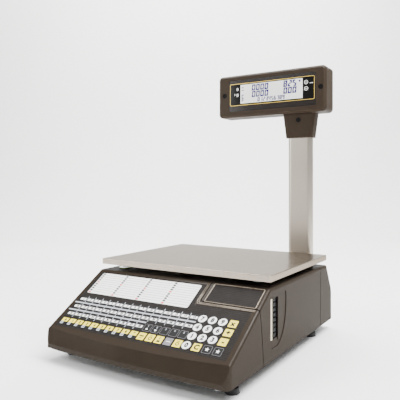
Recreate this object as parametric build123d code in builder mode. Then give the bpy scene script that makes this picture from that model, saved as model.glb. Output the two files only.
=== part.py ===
from build123d import *
import os
from math import cos, radians, sin, tan

os.makedirs("parts", exist_ok=True)

# Label printing scale with a display column, in millimetres.
# X runs to the operator's right, Y to the back, Z up; the origin is on the table, under the
# middle of the whole object.

# ---------------------------------------------------------------- driving dimensions
# Body
body_width = 382.0
body_depth = 490.0
head_overhang = 6.0         # how far the display head stands out behind the body
foot_height = 19.0          # table to the underside of the base tray
body_height = 125.0         # underside of the base tray to the deck
shell_gap = 3.0             # underside of the tray to the lower edge of the upper shell
wall = 3.0
slope_angle = 31.86         # keyboard slope, degrees from level
slope_drop = 85.9           # deck down to the front edge of the slope
chin_lift = 9.0             # chin line above the lower edge of the shell
chin_tuck = 3.0
front_lean = 9.0
front_bow = 6.0
corner_radius = 14.0
edge_round = 5.0
rear_shoulder = 41.0        # deck's rear edge forward of the rear wall
rear_waist = 10.0           # rear wall's upper break forward of the rear wall
rear_waist_drop = 53.0
rear_hip_drop = 99.0

# Base tray and feet
tray_inset = 8.0
tray_floor = 2.5
tray_wall = 2.0
tray_rim = 12.0
foot_side = 21.0            # foot centre in from the body's side
foot_front = 58.0
foot_rear = 87.0
foot_diameter = 24.0
foot_pad = 9.0
stem_diameter = 8.0
stem_play = 0.1
boss_wall = 4.0
boss_height = 3.5

# Weighing plate and what carries it
plate_width = 380.0
plate_rim = 11.0
plate_sheet = 1.2
plate_gap = 11.0            # deck to the plate's rim
plate_back_step = 2.0       # slope's top edge to the plate's front edge
plate_pole_gap = 7.78       # plate's rear edge to the pole
plate_corner = 4.0
cell_length = 144.0
cell_width = 40.0
cell_height = 22.0
cell_spacer = 13.0
cell_end = 40.0             # length of cell that is bolted down at each end
arm_width = 22.0
arm_height = 7.0
arm_end_side = 40.0         # arm's end in from the plate's side
arm_end_front = 36.0        # arm's end in from the plate's front and rear
buffer_diameter = 18.0
column_play = 6.0           # deck opening round the load column

# Column and display head
pole_width = 54.5
pole_thickness = 24.0
pole_corner = 8.0
pole_wall = 2.0
pole_side = 67.8            # pole centre in from the body's right side
pole_back = 19.0            # pole centre forward of the body's rear
pole_foot = 42.0            # underside of the tray to the foot of the pole
pole_height = 395.0
socket_wall = 4.5
socket_play = 0.2
socket_top = 131.0          # underside of the tray to the top of the socket
neck_height = 54.6
neck_wall = 3.7
neck_flare = 7.2            # how far the neck's sides lean out towards the head
neck_grip = 32.0            # length of pole held inside the neck
head_width = 266.9
head_height = 100.0
head_depth = 54.0
head_side = 0.0             # head's right end in from the body's right side
head_wall = 2.5
head_corner = 9.0
head_bevel = 5.0
window_width = 215.6
window_height = 74.0
window_rise = 13.4          # window's lower edge above the head's lower edge
window_inset = 28.9         # window's left edge in from the head's left end
window_sheet = 1.6
window_sink = 1.0
lcd_width = 154.5
lcd_height = 44.0
lcd_side = 59.4
lcd_rise = 31.4
lcd_depth = 6.0
cap_left = 17.1             # left head screw in from the head's left end
cap_right = 11.6            # right head screw in from the head's right end
cap_rise = 52.7             # head screws above the head's lower edge
cap_bore = 12.0             # recess round each screw of the head and neck
cap_depth = 3.0
cap_head = 11.0
cap_shank = 3.2

# Keyboard
overlay_left = 10.0
overlay_right = 11.4
overlay_front = 6.0
overlay_top = 7.5
overlay_sheet = 0.8
overlay_sink = 1.2
key_pitch = 18.05
key_columns = 15
keys_right = 105.5          # last column of the left block in from the body's right side
pad_pitch = 19.1
pad_columns = 4
pad_right = 31.5            # last column of the number pad in from the body's right side
first_row = 18.0
plate_metal = 1.5
dome_diameter = 10.0
dome_height = 0.4
dome_play = 0.1

# Printer cassette
door_side = 114.0           # cassette opening's left edge in from the right side
door_slope = 113.0          # cassette opening's lower edge up the slope
door_rear = 82.5            # rear parting line forward of the body's rear
door_strip = 18.0
door_gap = 2.0
slot_front = 1.1            # label slot behind the slope's top edge
slot_length = 33.5
slot_low = 37.0             # label slot above the underside of the tray
slot_height = 70.0
slot_sill = 8.0             # height of the sloping sill under the label slot
bar_width = 10.0            # light bar along the slot's front edge
bar_bulge = 1.2             # how far the bar's rear edge stands out from its front edge
cassette_floor = 2.5
cassette_rise = 8.0         # underside of the tray to the cassette's floor
cassette_wall = 2.5
roll_width = 60.0
web_rise = 40.0             # label web above the underside of the tray
roll_diameter = 86.0
core_diameter = 40.0
spindle_diameter = 8.0
run_clearance = 0.05
platen_diameter = 14.0
platen_shaft = 6.0
platen_pulley_radius = 10.0
motor_pulley_radius = 6.0
belt_thickness = 1.5
belt_width = 6.0
motor_size = 38.0
motor_height = 34.0

# ---------------------------------------------------------------- places worked out from them
side_x = body_width / 2
front_y = -(body_depth + head_overhang) / 2
rear_y = front_y + body_depth
tray_z = foot_height
floor_z = tray_z + tray_floor
shell_z = tray_z + shell_gap
deck_z = tray_z + body_height
chin_z = shell_z + chin_lift
slope_z = deck_z - slope_drop
slope_y = front_y + front_lean + front_bow
slope_run = slope_drop / tan(radians(slope_angle))
slope_length = slope_drop / sin(radians(slope_angle))
slope_top_y = slope_y + slope_run
deck_rear_y = rear_y - rear_shoulder
slope = Plane(
    origin=(0, slope_y, slope_z),
    x_dir=(1, 0, 0),
    z_dir=(0, -sin(radians(slope_angle)), cos(radians(slope_angle))),
)
plate_front_y = slope_top_y + plate_back_step
rim_z = deck_z + plate_gap
plate_z = rim_z + plate_rim
pole_x = side_x - pole_side
pole_y = rear_y - pole_back
pole_z = tray_z + pole_foot
plate_depth = pole_y - pole_thickness / 2 - plate_pole_gap - plate_front_y
plate_y = plate_front_y + plate_depth / 2
arm_reach_x = plate_width / 2 - arm_end_side
arm_reach_y = plate_depth / 2 - arm_end_front
neck_z = pole_z + pole_height - neck_grip
neck_base_width = pole_width + 2 * neck_wall
neck_top_width = neck_base_width + 2 * neck_flare
neck_depth = pole_thickness + 2 * neck_wall
head_z = neck_z + neck_height
head_right = side_x - head_side
head_left = head_right - head_width
head_x = (head_left + head_right) / 2
head_rear_y = rear_y + head_overhang
head_front_y = head_rear_y - head_depth
head_mid_y = (head_front_y + head_rear_y) / 2
overhang = 40.0             # how far cutting tools reach past the body


# ---------------------------------------------------------------- helpers
def block(low, high, mode=Mode.ADD):
    """A box between two corners, in the part being built."""
    centre = [(a + b) / 2 for a, b in zip(low, high)]
    size = [b - a for a, b in zip(low, high)]
    with Locations(tuple(centre)):
        Box(*size, mode=mode)


def post(x, y, low, high, diameter, mode=Mode.ADD):
    """A round upright between two heights, in the part being built."""
    with Locations((x, y, (low + high) / 2)):
        Cylinder(diameter / 2, high - low, mode=mode)


def outline(inset):
    """Plan of the body, moved in by inset: bowed front and rounded corners."""
    side_front_y = front_y + front_bow
    with BuildSketch() as plan:
        with BuildLine():
            Polyline(
                (side_x, side_front_y), (side_x, rear_y), (-side_x, rear_y), (-side_x, side_front_y)
            )
            ThreePointArc((-side_x, side_front_y), (0, front_y), (side_x, side_front_y))
        make_face()
        fillet(vertices(), radius=corner_radius)
        if inset:
            offset(amount=-inset)
    return plan.sketch


def body_form(inset, bottom):
    """Solid form of the body, moved in by inset and cut off level at bottom."""
    bow_radius = (side_x**2 + front_bow**2) / (2 * front_bow)
    top_z = deck_z + overhang
    ahead_y = front_y - overhang
    ahead_z = slope_z - (slope_y - ahead_y) * tan(radians(slope_angle))
    with BuildPart() as form:
        with BuildSketch(Plane.YZ.offset(inset - side_x)):
            with BuildLine():
                Polyline(
                    (ahead_y, 0),
                    (ahead_y, ahead_z),
                    (slope_top_y, deck_z),
                    (deck_rear_y, deck_z),
                    (rear_y - rear_waist, deck_z - rear_waist_drop),
                    (rear_y, deck_z - rear_hip_drop),
                    (rear_y, 0),
                    close=True,
                )
            make_face()
            if inset:
                offset(amount=-inset, kind=Kind.INTERSECTION)
        extrude(amount=body_width - 2 * inset)
        rims = form.edges().filter_by(lambda e: abs(e.center().X) > side_x - inset - 0.1)
        ends = rims.filter_by(lambda e: e.center().Y > ahead_y + 1 and e.center().Z > shell_z)
        fillet(ends, radius=edge_round)
        with BuildSketch(Plane.YZ):
            with BuildLine():
                lean = front_lean / (slope_z - chin_z)
                Polyline(
                    (front_y + bow_radius, 0),
                    (front_y + chin_tuck, 0),
                    (front_y + chin_tuck, shell_z),
                    (front_y, chin_z),
                    (front_y + lean * (top_z - chin_z), top_z),
                    (front_y + bow_radius, top_z),
                    close=True,
                )
            make_face()
            if inset:
                offset(amount=-inset, kind=Kind.INTERSECTION)
        revolve(axis=Axis((0, front_y + bow_radius, 0), (0, 0, 1)), mode=Mode.INTERSECT)
        extrude(outline(inset), amount=top_z, mode=Mode.INTERSECT)
        split(bisect_by=Plane.XY.offset(bottom), keep=Keep.TOP)
    return form.part


def cassette_opening(gap):
    """Space that the printer door fills: a corner of the slope and most of the right side."""
    start_y = slope_y + door_slope * cos(radians(slope_angle))
    start_z = slope_z + door_slope * sin(radians(slope_angle))
    groove_sweep = 14.0
    rear = rear_y - door_rear
    low = shell_z - overhang / 4
    with BuildPart() as zone:
        with BuildSketch(slope.offset(-2 * wall)):
            with BuildLine():
                Polyline(
                    (side_x - door_side, door_slope),
                    (side_x + overhang, door_slope),
                    (side_x + overhang, slope_length + 2 * wall),
                    (side_x - door_side, slope_length + 2 * wall),
                    close=True,
                )
            make_face()
            fillet(vertices().sort_by(Axis.X)[:2].sort_by(Axis.Y)[0], radius=corner_radius / 2)
            if gap:
                offset(amount=-gap, kind=Kind.INTERSECTION)
        extrude(amount=overhang)
        with BuildSketch(Plane.YZ.offset(side_x - door_strip + gap)):
            with BuildLine():
                ThreePointArc(
                    (start_y, start_z),
                    (start_y + groove_sweep * 0.7, (start_z + low) / 2),
                    (start_y + groove_sweep, low),
                )
                Polyline(
                    (start_y + groove_sweep, low),
                    (rear, low),
                    (rear, deck_z + overhang),
                    (start_y, deck_z + overhang),
                    (start_y, start_z),
                )
            make_face()
            if gap:
                offset(amount=-gap, kind=Kind.INTERSECTION)
        extrude(amount=door_strip + overhang)
    return zone.part


def rounded_block(low, high, radius):
    """A block between two corners whose upright edges are rounded."""
    with BuildPart() as piece:
        block(low, high)
        fillet(piece.edges().filter_by(Axis.Z), radius=radius)
    return piece.part


outer_form = body_form(0, shell_z)
inner_form = body_form(wall, shell_z - wall)

# ---------------------------------------------------------------- base tray
foot_places = {
    "front_left": (-side_x + foot_side, front_y + foot_front),
    "front_right": (side_x - foot_side, front_y + foot_front),
    "rear_left": (-side_x + foot_side, rear_y - foot_rear),
    "rear_right": (side_x - foot_side, rear_y - foot_rear),
}
screw_shank = 3.5
screw_head = 7.0
screw_head_height = 2.4
screw_grip = 12.0
post_diameter = 9.0
post_side = 26.0
post_front = 19.5
post_rear = 17.0
screw_places = [
    (-side_x + post_side, front_y + post_front),
    (side_x - post_side, front_y + post_front),
    (-side_x + post_side, rear_y - post_rear),
    (side_x - post_side, rear_y - post_rear),
]
door_rear_y = rear_y - door_rear
door_front_y = slope_y + door_slope * cos(radians(slope_angle))
tray_play = 2.5
socket_width = pole_width + 2 * (socket_wall + socket_play)
socket_depth = pole_thickness + 2 * (socket_wall + socket_play)
bay_left = -side_x + 33.0
bay_width = 140.0
bay_height = 56.0
bay_depth = 26.0
bay_sheet = 1.5
bay_low = floor_z + 4.0
bay_front_y = rear_y - bay_depth
board_sheet = 1.6
board_height = 9.0
board_left = -side_x + 40.0
board_width = 210.0
board_front = front_y + 62.0
board_depth = 96.0
board_z = floor_z + board_height
standoff_diameter = 7.0
standoff_inset = 6.0

with BuildPart() as base_tray:
    extrude(outline(tray_inset), amount=tray_rim)
    extrude(outline(tray_inset + tray_wall), amount=tray_rim, mode=Mode.SUBTRACT)
    extrude(outline(tray_inset + tray_wall / 2), amount=tray_floor)
    block(
        (side_x - tray_inset - 2 * tray_wall, door_front_y, tray_floor),
        (side_x, door_rear_y + tray_play, tray_rim),
        mode=Mode.SUBTRACT,
    )
    block(
        (bay_left - tray_play, rear_y - tray_inset - 2 * tray_wall, tray_floor),
        (bay_left + bay_width + tray_play, rear_y, tray_rim),
        mode=Mode.SUBTRACT,
    )
    with BuildSketch(Plane.XY.offset(tray_floor)):
        with Locations((pole_x, pole_y)):
            RectangleRounded(
                socket_width + 2 * stem_play,
                socket_depth + 2 * stem_play,
                pole_corner + socket_wall,
            )
    extrude(amount=tray_rim, mode=Mode.SUBTRACT)
    for x in (board_left + standoff_inset, board_left + board_width - standoff_inset):
        for y in (board_front + standoff_inset, board_front + board_depth - standoff_inset):
            post(x, y, tray_floor, tray_floor + board_height, standoff_diameter)
    for x, y in foot_places.values():
        post(x, y, 0, tray_floor + boss_height, stem_diameter + 2 * boss_wall)
        post(x, y, 0, tray_floor + boss_height, stem_diameter + 2 * stem_play, Mode.SUBTRACT)
    for x, y in screw_places:
        post(x, y, 0, tray_floor, screw_shank + stem_play, Mode.SUBTRACT)
base_tray.part.locate(Location((0, 0, tray_z)))
base_tray.part.label = "base_tray"
export_step(base_tray.part, "parts/base_tray.step")

# ---------------------------------------------------------------- levelling feet
stem_top = floor_z + boss_height
for place, (x, y) in foot_places.items():
    with BuildPart() as foot:
        with BuildSketch(Plane.XZ):
            with BuildLine():
                Polyline(
                    (0, 0),
                    (foot_diameter / 2 - 1, 0),
                    (foot_diameter / 2, 1),
                    (foot_diameter / 2 - 2, foot_pad),
                    (stem_diameter / 2, foot_pad),
                    (stem_diameter / 2, stem_top),
                    (0, stem_top),
                    close=True,
                )
            make_face()
        revolve(axis=Axis.Z)
    foot.part.locate(Location((x, y, 0)))
    foot.part.label = f"foot_{place}"
    export_step(foot.part, f"parts/foot_{place}.step")

# ---------------------------------------------------------------- upper shell
column_x = cell_length / 2 - cell_end / 2
column_hole = cell_end / 2 + column_play
overlay_low = (-side_x + overlay_left, overlay_front)
overlay_high = (side_x - overlay_right, slope_length - overlay_top)
band = 7.0                  # shell left round the cassette opening
step_x = side_x - door_side - band
step_v = door_slope - band
overlay_points = [
    overlay_low,
    (overlay_high[0], overlay_low[1]),
    (overlay_high[0], step_v),
    (step_x, step_v),
    (step_x, overlay_high[1]),
    (overlay_low[0], overlay_high[1]),
]
overlay_ledge = 5.0
vial_diameter = 20.0
vial_x = -side_x + 31.0
vial_y = plate_front_y + 40.0
vial_lip = 3.0


def overlay_sheet_solid(low, high, shrink):
    """A sheet of the keyboard overlay's outline between two heights above the slope."""
    with BuildPart() as sheet:
        with BuildSketch(slope.offset(low)):
            with BuildLine():
                Polyline(*overlay_points, close=True)
            make_face()
            if shrink:
                offset(amount=-shrink, kind=Kind.INTERSECTION)
        extrude(amount=high - low)
    return sheet.part


with BuildPart() as upper_shell:
    add(outer_form)
    add(inner_form, mode=Mode.SUBTRACT)
    for x, y in screw_places:
        post(x, y, floor_z, deck_z, post_diameter)
    add(outer_form, mode=Mode.INTERSECT)
    for x, y in screw_places:
        post(x, y, 0, floor_z + screw_grip + 2, screw_shank + stem_play, Mode.SUBTRACT)
    add(cassette_opening(0), mode=Mode.SUBTRACT)
    add(overlay_sheet_solid(-overlay_sink, overhang / 4, 0), mode=Mode.SUBTRACT)
    add(overlay_sheet_solid(-2 * wall, 0, overlay_ledge), mode=Mode.SUBTRACT)
    block(
        (column_x - column_hole, plate_y - column_hole, deck_z - 2 * wall),
        (column_x + column_hole, plate_y + column_hole, deck_z + wall),
        mode=Mode.SUBTRACT,
    )
    post(vial_x, vial_y, deck_z - 2 * wall, deck_z, vial_diameter + 2 * stem_play, Mode.SUBTRACT)
    with BuildSketch(Plane.XY.offset(floor_z)):
        with Locations((pole_x, pole_y)):
            RectangleRounded(
                socket_width + 2 * stem_play,
                socket_depth + 2 * stem_play,
                pole_corner + socket_wall,
            )
    extrude(amount=body_height, mode=Mode.SUBTRACT)
    block(
        (bay_left, bay_front_y, bay_low),
        (bay_left + bay_width, rear_y + wall, bay_low + bay_height),
        mode=Mode.SUBTRACT,
    )
upper_shell.part.label = "upper_shell"
export_step(upper_shell.part, "parts/upper_shell.step")

# ---------------------------------------------------------------- keyboard
overlay_play = 0.3
with BuildPart() as keyboard_overlay:
    add(overlay_sheet_solid(-overlay_sink, overlay_sheet - overlay_sink, overlay_play))
keyboard_overlay.part.label = "keyboard_overlay"
export_step(keyboard_overlay.part, "parts/keyboard_overlay.step")

key_places = []
for row in range(4):
    key_v = first_row + row * pad_pitch
    for column in range(key_columns):
        key_places.append((side_x - keys_right - column * key_pitch, key_v))
    for column in range(pad_columns):
        key_places.append((side_x - pad_right - column * pad_pitch, key_v))

with BuildPart() as key_plate:
    add(
        overlay_sheet_solid(
            -overlay_sink - plate_metal, -overlay_sink, overlay_ledge + overlay_play
        )
    )
    with BuildSketch(slope.offset(-overlay_sink)):
        with Locations(*key_places):
            Circle(dome_diameter / 2 + overlay_play)
    extrude(amount=-dome_height - dome_play, mode=Mode.SUBTRACT)
key_plate.part.label = "key_plate"
export_step(key_plate.part, "parts/key_plate.step")

with BuildPart() as key_domes:
    with BuildSketch(slope.offset(-overlay_sink - dome_height - dome_play)):
        with Locations(*key_places):
            Circle(dome_diameter / 2)
    extrude(amount=dome_height)
key_domes.part.label = "key_domes"
export_step(key_domes.part, "parts/key_domes.step")

# ---------------------------------------------------------------- load cell and weighing plate
cell_low = floor_z + cell_spacer
cell_high = cell_low + cell_height
stop_gap = 0.8
stop_diameter = 8.0
bore_diameter = 15.0

with BuildPart() as cell_block:
    block(
        (-cell_length / 2, plate_y - cell_width / 2, floor_z),
        (-cell_length / 2 + cell_end, plate_y + cell_width / 2, cell_low),
    )
cell_block.part.label = "cell_block"
export_step(cell_block.part, "parts/cell_block.step")

with BuildPart() as load_cell:
    block(
        (-cell_length / 2, plate_y - cell_width / 2, cell_low),
        (cell_length / 2, plate_y + cell_width / 2, cell_high),
    )
    with BuildSketch(Plane.XZ.offset(-plate_y)):
        with Locations((0, (cell_low + cell_high) / 2)):
            SlotOverall(cell_length - 2 * cell_end, bore_diameter)
    extrude(amount=cell_width, both=True, mode=Mode.SUBTRACT)
load_cell.part.label = "load_cell"
export_step(load_cell.part, "parts/load_cell.step")

with BuildPart() as overload_stops:
    for side in (-1, 1):
        post(column_x, plate_y + side * cell_width / 4, floor_z, cell_low - stop_gap, stop_diameter)
overload_stops.part.label = "overload_stops"
export_step(overload_stops.part, "parts/overload_stops.step")

arm_low = deck_z + 4.0
arm_high = arm_low + arm_height
with BuildPart() as plate_spider:
    block(
        (column_x - cell_end / 2, plate_y - cell_width / 2, cell_high),
        (column_x + cell_end / 2, plate_y + cell_width / 2, arm_high),
    )
    block(
        (-column_x - cell_end / 2, plate_y - cell_width / 2, arm_low),
        (column_x + cell_end / 2, plate_y + cell_width / 2, arm_high),
    )
    for side_a in (-1, 1):
        for side_b in (-1, 1):
            with BuildSketch(Plane.XY.offset(arm_low)):
                with Locations((side_a * arm_reach_x, plate_y + side_b * arm_reach_y)):
                    Circle(arm_width / 2)
                with Locations((side_a * column_x, plate_y)):
                    Circle(arm_width / 2)
                make_hull()
            extrude(amount=arm_height)
plate_spider.part.label = "plate_spider"
export_step(plate_spider.part, "parts/plate_spider.step")

with BuildPart() as plate_buffers:
    for side_a in (-1, 1):
        for side_b in (-1, 1):
            post(
                side_a * arm_reach_x,
                plate_y + side_b * arm_reach_y,
                arm_high,
                plate_z - plate_sheet,
                buffer_diameter,
            )
plate_buffers.part.label = "plate_buffers"
export_step(plate_buffers.part, "parts/plate_buffers.step")

with BuildPart() as weighing_plate:
    block(
        (-plate_width / 2, plate_front_y, rim_z),
        (plate_width / 2, plate_front_y + plate_depth, plate_z),
    )
    fillet(weighing_plate.edges().filter_by(Axis.Z), radius=plate_corner)
    fillet(weighing_plate.faces().sort_by(Axis.Z)[-1].edges(), radius=plate_sheet)
    pan = rounded_block(
        (-plate_width / 2 + plate_sheet, plate_front_y + plate_sheet, rim_z - plate_sheet),
        (
            plate_width / 2 - plate_sheet,
            plate_front_y + plate_depth - plate_sheet,
            plate_z - plate_sheet,
        ),
        plate_corner - plate_sheet,
    )
    add(pan, mode=Mode.SUBTRACT)
weighing_plate.part.label = "weighing_plate"
export_step(weighing_plate.part, "parts/weighing_plate.step")

with BuildPart() as level_vial:
    post(vial_x, vial_y, deck_z - 3 * wall, deck_z, vial_diameter)
    post(vial_x, vial_y, deck_z, deck_z + wall / 2, vial_diameter + 2 * vial_lip)
level_vial.part.label = "level_vial"
export_step(level_vial.part, "parts/level_vial.step")

# ---------------------------------------------------------------- electronics

board_top = board_z + board_sheet
chip_size = 20.0
chip_height = 2.4
chip_pitch = 45.0
chip_in = 30.0
header_size = (130.0, 10.0, 8.4)
header_in = (20.0, 75.0)
with BuildPart() as main_board:
    block(
        (board_left, board_front, board_z),
        (board_left + board_width, board_front + board_depth, board_top),
    )
    for column in range(4):
        chip_x = board_left + chip_in + column * chip_pitch
        chip_y = board_front + chip_in
        block(
            (chip_x, chip_y, board_top),
            (chip_x + chip_size, chip_y + chip_size, board_top + chip_height),
        )
    header_x = board_left + header_in[0]
    header_y = board_front + header_in[1]
    block(
        (header_x, header_y, board_top),
        (header_x + header_size[0], header_y + header_size[1], board_top + header_size[2]),
    )
main_board.part.label = "main_board"
export_step(main_board.part, "parts/main_board.step")

supply_size = (120.0, 62.0, 38.0)
supply_left = -side_x + 40.0
supply_gap = 18.0           # behind the supply, for the inlet's wires
inlet_depth = 17.0
supply_front = bay_front_y - inlet_depth - supply_gap - supply_size[1]
with BuildPart() as power_supply:
    block(
        (supply_left, supply_front, floor_z),
        (supply_left + supply_size[0], supply_front + supply_size[1], floor_z + supply_size[2]),
    )
    fillet(power_supply.edges().filter_by(Axis.Z), radius=wall)
power_supply.part.label = "power_supply"
export_step(power_supply.part, "parts/power_supply.step")

# ---------------------------------------------------------------- rear connector bay
bay_form = body_form(wall + bay_sheet, shell_z)
bay_right = bay_left + bay_width
bay_high = bay_low + bay_height
panel_y = bay_front_y + bay_sheet
inlet_x = bay_left + 30.0
inlet_z = bay_low + 22.0
inlet_width = 27.0
inlet_height = 19.5
inlet_wall = 1.5
inlet_flange = (33.0, 25.0, 2.5)
pin_places = ((-7.0, -2.0), (0.0, 2.0), (7.0, -2.0))
pin_size = (2.0, 4.0)
switch_x = inlet_x + 34.0
switch_width = 13.0
switch_height = 19.5
switch_wall = 1.6
switch_play = 0.4
rocker_back = 4.0           # rocker's axis behind the panel's face
rocker_dish = 12.0          # centre of the rocker's hollow behind its axis
port_places = [bay_left + 85.0, bay_left + 104.0]
port_size = (16.0, 17.0, 14.0)
port_hole = (11.8, 13.0, 8.0)
port_lip = 0.5
serial_x = bay_left + 125.0
serial_body = (8.0, 10.0, 31.0)
serial_flange = (12.0, 1.0, 31.0)
serial_shell = (7.0, 5.0, 18.0)


def panel_block(x, size, inner_y, outer_y, mode=Mode.ADD):
    """A block of this width and height on the connectors' line, between two depths."""
    block(
        (x - size[0] / 2, inner_y, inlet_z - size[1] / 2),
        (x + size[0] / 2, outer_y, inlet_z + size[1] / 2),
        mode,
    )


with BuildPart() as connector_panel:
    block((bay_left, bay_front_y, bay_low), (bay_right, rear_y, bay_high))
    block(
        (bay_left + bay_sheet, bay_front_y + bay_sheet, bay_low + bay_sheet),
        (bay_right - bay_sheet, rear_y + wall, bay_high - bay_sheet),
        mode=Mode.SUBTRACT,
    )
    add(bay_form, mode=Mode.INTERSECT)
    with BuildSketch(Plane.XZ.offset(-bay_front_y)):
        with Locations((inlet_x, inlet_z)):
            Rectangle(inlet_width, inlet_height)
        with Locations((switch_x, inlet_z)):
            Rectangle(switch_width + 2 * switch_wall, switch_height + 2 * switch_wall)
        with Locations(*[(x, inlet_z) for x in port_places]):
            Rectangle(port_size[0], port_size[2])
        with Locations((serial_x, inlet_z)):
            Rectangle(serial_body[0], serial_body[2])
    extrude(amount=bay_sheet, both=True, mode=Mode.SUBTRACT)
connector_panel.part.label = "connector_panel"
export_step(connector_panel.part, "parts/connector_panel.step")

inlet_front_y = panel_y - inlet_depth
inlet_size = (inlet_width, inlet_height)
inlet_hole = (inlet_width - 2 * inlet_wall, inlet_height - 2 * inlet_wall)
with BuildPart() as mains_inlet:
    panel_block(inlet_x, inlet_size, inlet_front_y - bay_sheet, panel_y)
    panel_block(inlet_x, inlet_flange[:2], panel_y, panel_y + inlet_flange[2])
    panel_block(inlet_x, inlet_hole, inlet_front_y + inlet_wall, panel_y + wall, Mode.SUBTRACT)
    for pin_x, pin_z in pin_places:
        block(
            (inlet_x + pin_x - pin_size[0] / 2, inlet_front_y, inlet_z + pin_z - pin_size[1] / 2),
            (inlet_x + pin_x + pin_size[0] / 2, panel_y - 2, inlet_z + pin_z + pin_size[1] / 2),
        )
mains_inlet.part.label = "mains_inlet"
export_step(mains_inlet.part, "parts/mains_inlet.step")

switch_outer = (switch_width + 2 * switch_wall, switch_height + 2 * switch_wall)
switch_inner = (switch_width, switch_height)
with BuildPart() as switch_frame:
    panel_block(switch_x, switch_outer, inlet_front_y, panel_y + inlet_wall)
    panel_block(switch_x, switch_inner, inlet_front_y + 2, panel_y + wall, Mode.SUBTRACT)
switch_frame.part.label = "switch_frame"
export_step(switch_frame.part, "parts/switch_frame.step")

rocker_radius = switch_height / 2 - switch_play
with BuildPart() as switch_rocker:
    with BuildSketch(Plane.YZ.offset(switch_x)):
        with Locations((panel_y - rocker_back, inlet_z)):
            Circle(rocker_radius)
        with Locations((panel_y - rocker_back + rocker_dish, inlet_z)):
            Circle(rocker_radius, mode=Mode.SUBTRACT)
    extrude(amount=switch_width / 2 - switch_play, both=True)
switch_rocker.part.label = "switch_rocker"
export_step(switch_rocker.part, "parts/switch_rocker.step")

with BuildPart() as data_ports:
    for x in port_places:
        panel_block(x, port_size[::2], panel_y - port_size[1], panel_y + port_lip)
        panel_block(x, port_hole[::2], panel_y - port_hole[1], panel_y + wall, Mode.SUBTRACT)
    panel_block(serial_x, serial_body[::2], panel_y - serial_body[1], panel_y + port_lip)
    panel_block(serial_x, serial_flange[::2], panel_y, panel_y + serial_flange[1])
    panel_block(serial_x, serial_shell[::2], panel_y, panel_y + serial_shell[1])
data_ports.part.label = "data_ports"
export_step(data_ports.part, "parts/data_ports.step")

with BuildPart() as base_screws:
    for x, y in screw_places:
        post(x, y, tray_z - screw_head_height, tray_z, screw_head)
        post(x, y, tray_z, floor_z + screw_grip, screw_shank)
base_screws.part.label = "base_screws"
export_step(base_screws.part, "parts/base_screws.step")

# ---------------------------------------------------------------- display column
with BuildPart() as pole_socket:
    with BuildSketch(Plane.XY.offset(floor_z)):
        with Locations((pole_x, pole_y)):
            RectangleRounded(socket_width, socket_depth, pole_corner + socket_wall)
    extrude(amount=tray_z + socket_top - floor_z)
    top_edges = pole_socket.faces().sort_by(Axis.Z)[-1].edges()
    fillet(top_edges, radius=2.0)
    with BuildSketch(Plane.XY.offset(pole_z)):
        with Locations((pole_x, pole_y)):
            RectangleRounded(
                pole_width + 2 * socket_play,
                pole_thickness + 2 * socket_play,
                pole_corner + socket_play,
            )
    extrude(amount=body_height, mode=Mode.SUBTRACT)
pole_socket.part.label = "pole_socket"
export_step(pole_socket.part, "parts/pole_socket.step")

with BuildPart() as pole:
    with BuildSketch(Plane.XY.offset(pole_z)):
        with Locations((pole_x, pole_y)):
            RectangleRounded(pole_width, pole_thickness, pole_corner)
            RectangleRounded(
                pole_width - 2 * pole_wall,
                pole_thickness - 2 * pole_wall,
                pole_corner - pole_wall,
                mode=Mode.SUBTRACT,
            )
    extrude(amount=pole_height)
pole.part.label = "pole"
export_step(pole.part, "parts/pole.step")

neck_corner = 6.0
neck_face_y = pole_y - neck_depth / 2
neck_screw_z = neck_z + 40.0
cap_sink = 2.0              # depth of the recess in the neck
with BuildPart() as neck:
    with BuildSketch(Plane.XY.offset(neck_z)):
        with Locations((pole_x, pole_y)):
            RectangleRounded(neck_base_width, neck_depth, neck_corner)
    with BuildSketch(Plane.XY.offset(head_z)):
        with Locations((pole_x, pole_y)):
            RectangleRounded(neck_top_width, neck_depth, neck_corner)
    loft()
    with BuildSketch(Plane.XY.offset(neck_z)):
        with Locations((pole_x, pole_y)):
            RectangleRounded(
                pole_width + 2 * socket_play,
                pole_thickness + 2 * socket_play,
                pole_corner + socket_play,
            )
    extrude(amount=neck_height, mode=Mode.SUBTRACT)
    with Locations(Plane(origin=(pole_x, neck_face_y, neck_screw_z), z_dir=(0, -1, 0))):
        CounterBoreHole(cap_shank / 2 + stem_play, cap_bore / 2, cap_sink, depth=neck_depth / 4)
neck.part.label = "neck"
export_step(neck.part, "parts/neck.step")

# ---------------------------------------------------------------- display head
window_x = head_left + window_inset + window_width / 2
window_z = head_z + window_rise + window_height / 2
lcd_left = head_left + lcd_side
lcd_low = head_z + lcd_rise
lcd_x = lcd_left + lcd_width / 2
lcd_z = lcd_low + lcd_height / 2
head_screw_places = [
    (head_left + cap_left, head_z + cap_rise),
    (head_right - cap_right, head_z + cap_rise),
]
head_mid_z = head_z + head_height / 2
split_gap = 0.3
cap_grip = 14.0             # length of screw hole in the rear half
head_boss = cap_bore + 2 * 2.0


def head_plane(facing):
    """Outer plane of the head; facing is -1 for the front and 1 for the rear."""
    face_y = head_front_y if facing < 0 else head_rear_y
    return Plane(origin=(0, face_y, 0), x_dir=(-facing, 0, 0), z_dir=(0, facing, 0))


def window_sketch(facing, depth, shrink):
    """Outline of the window at a depth behind the head's outer plane."""
    with BuildSketch(head_plane(facing).offset(-depth)) as sketch:
        with Locations((-facing * window_x, window_z)):
            RectangleRounded(window_width - shrink, window_height - shrink, 2 * head_wall)
    return sketch.sketch


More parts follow.
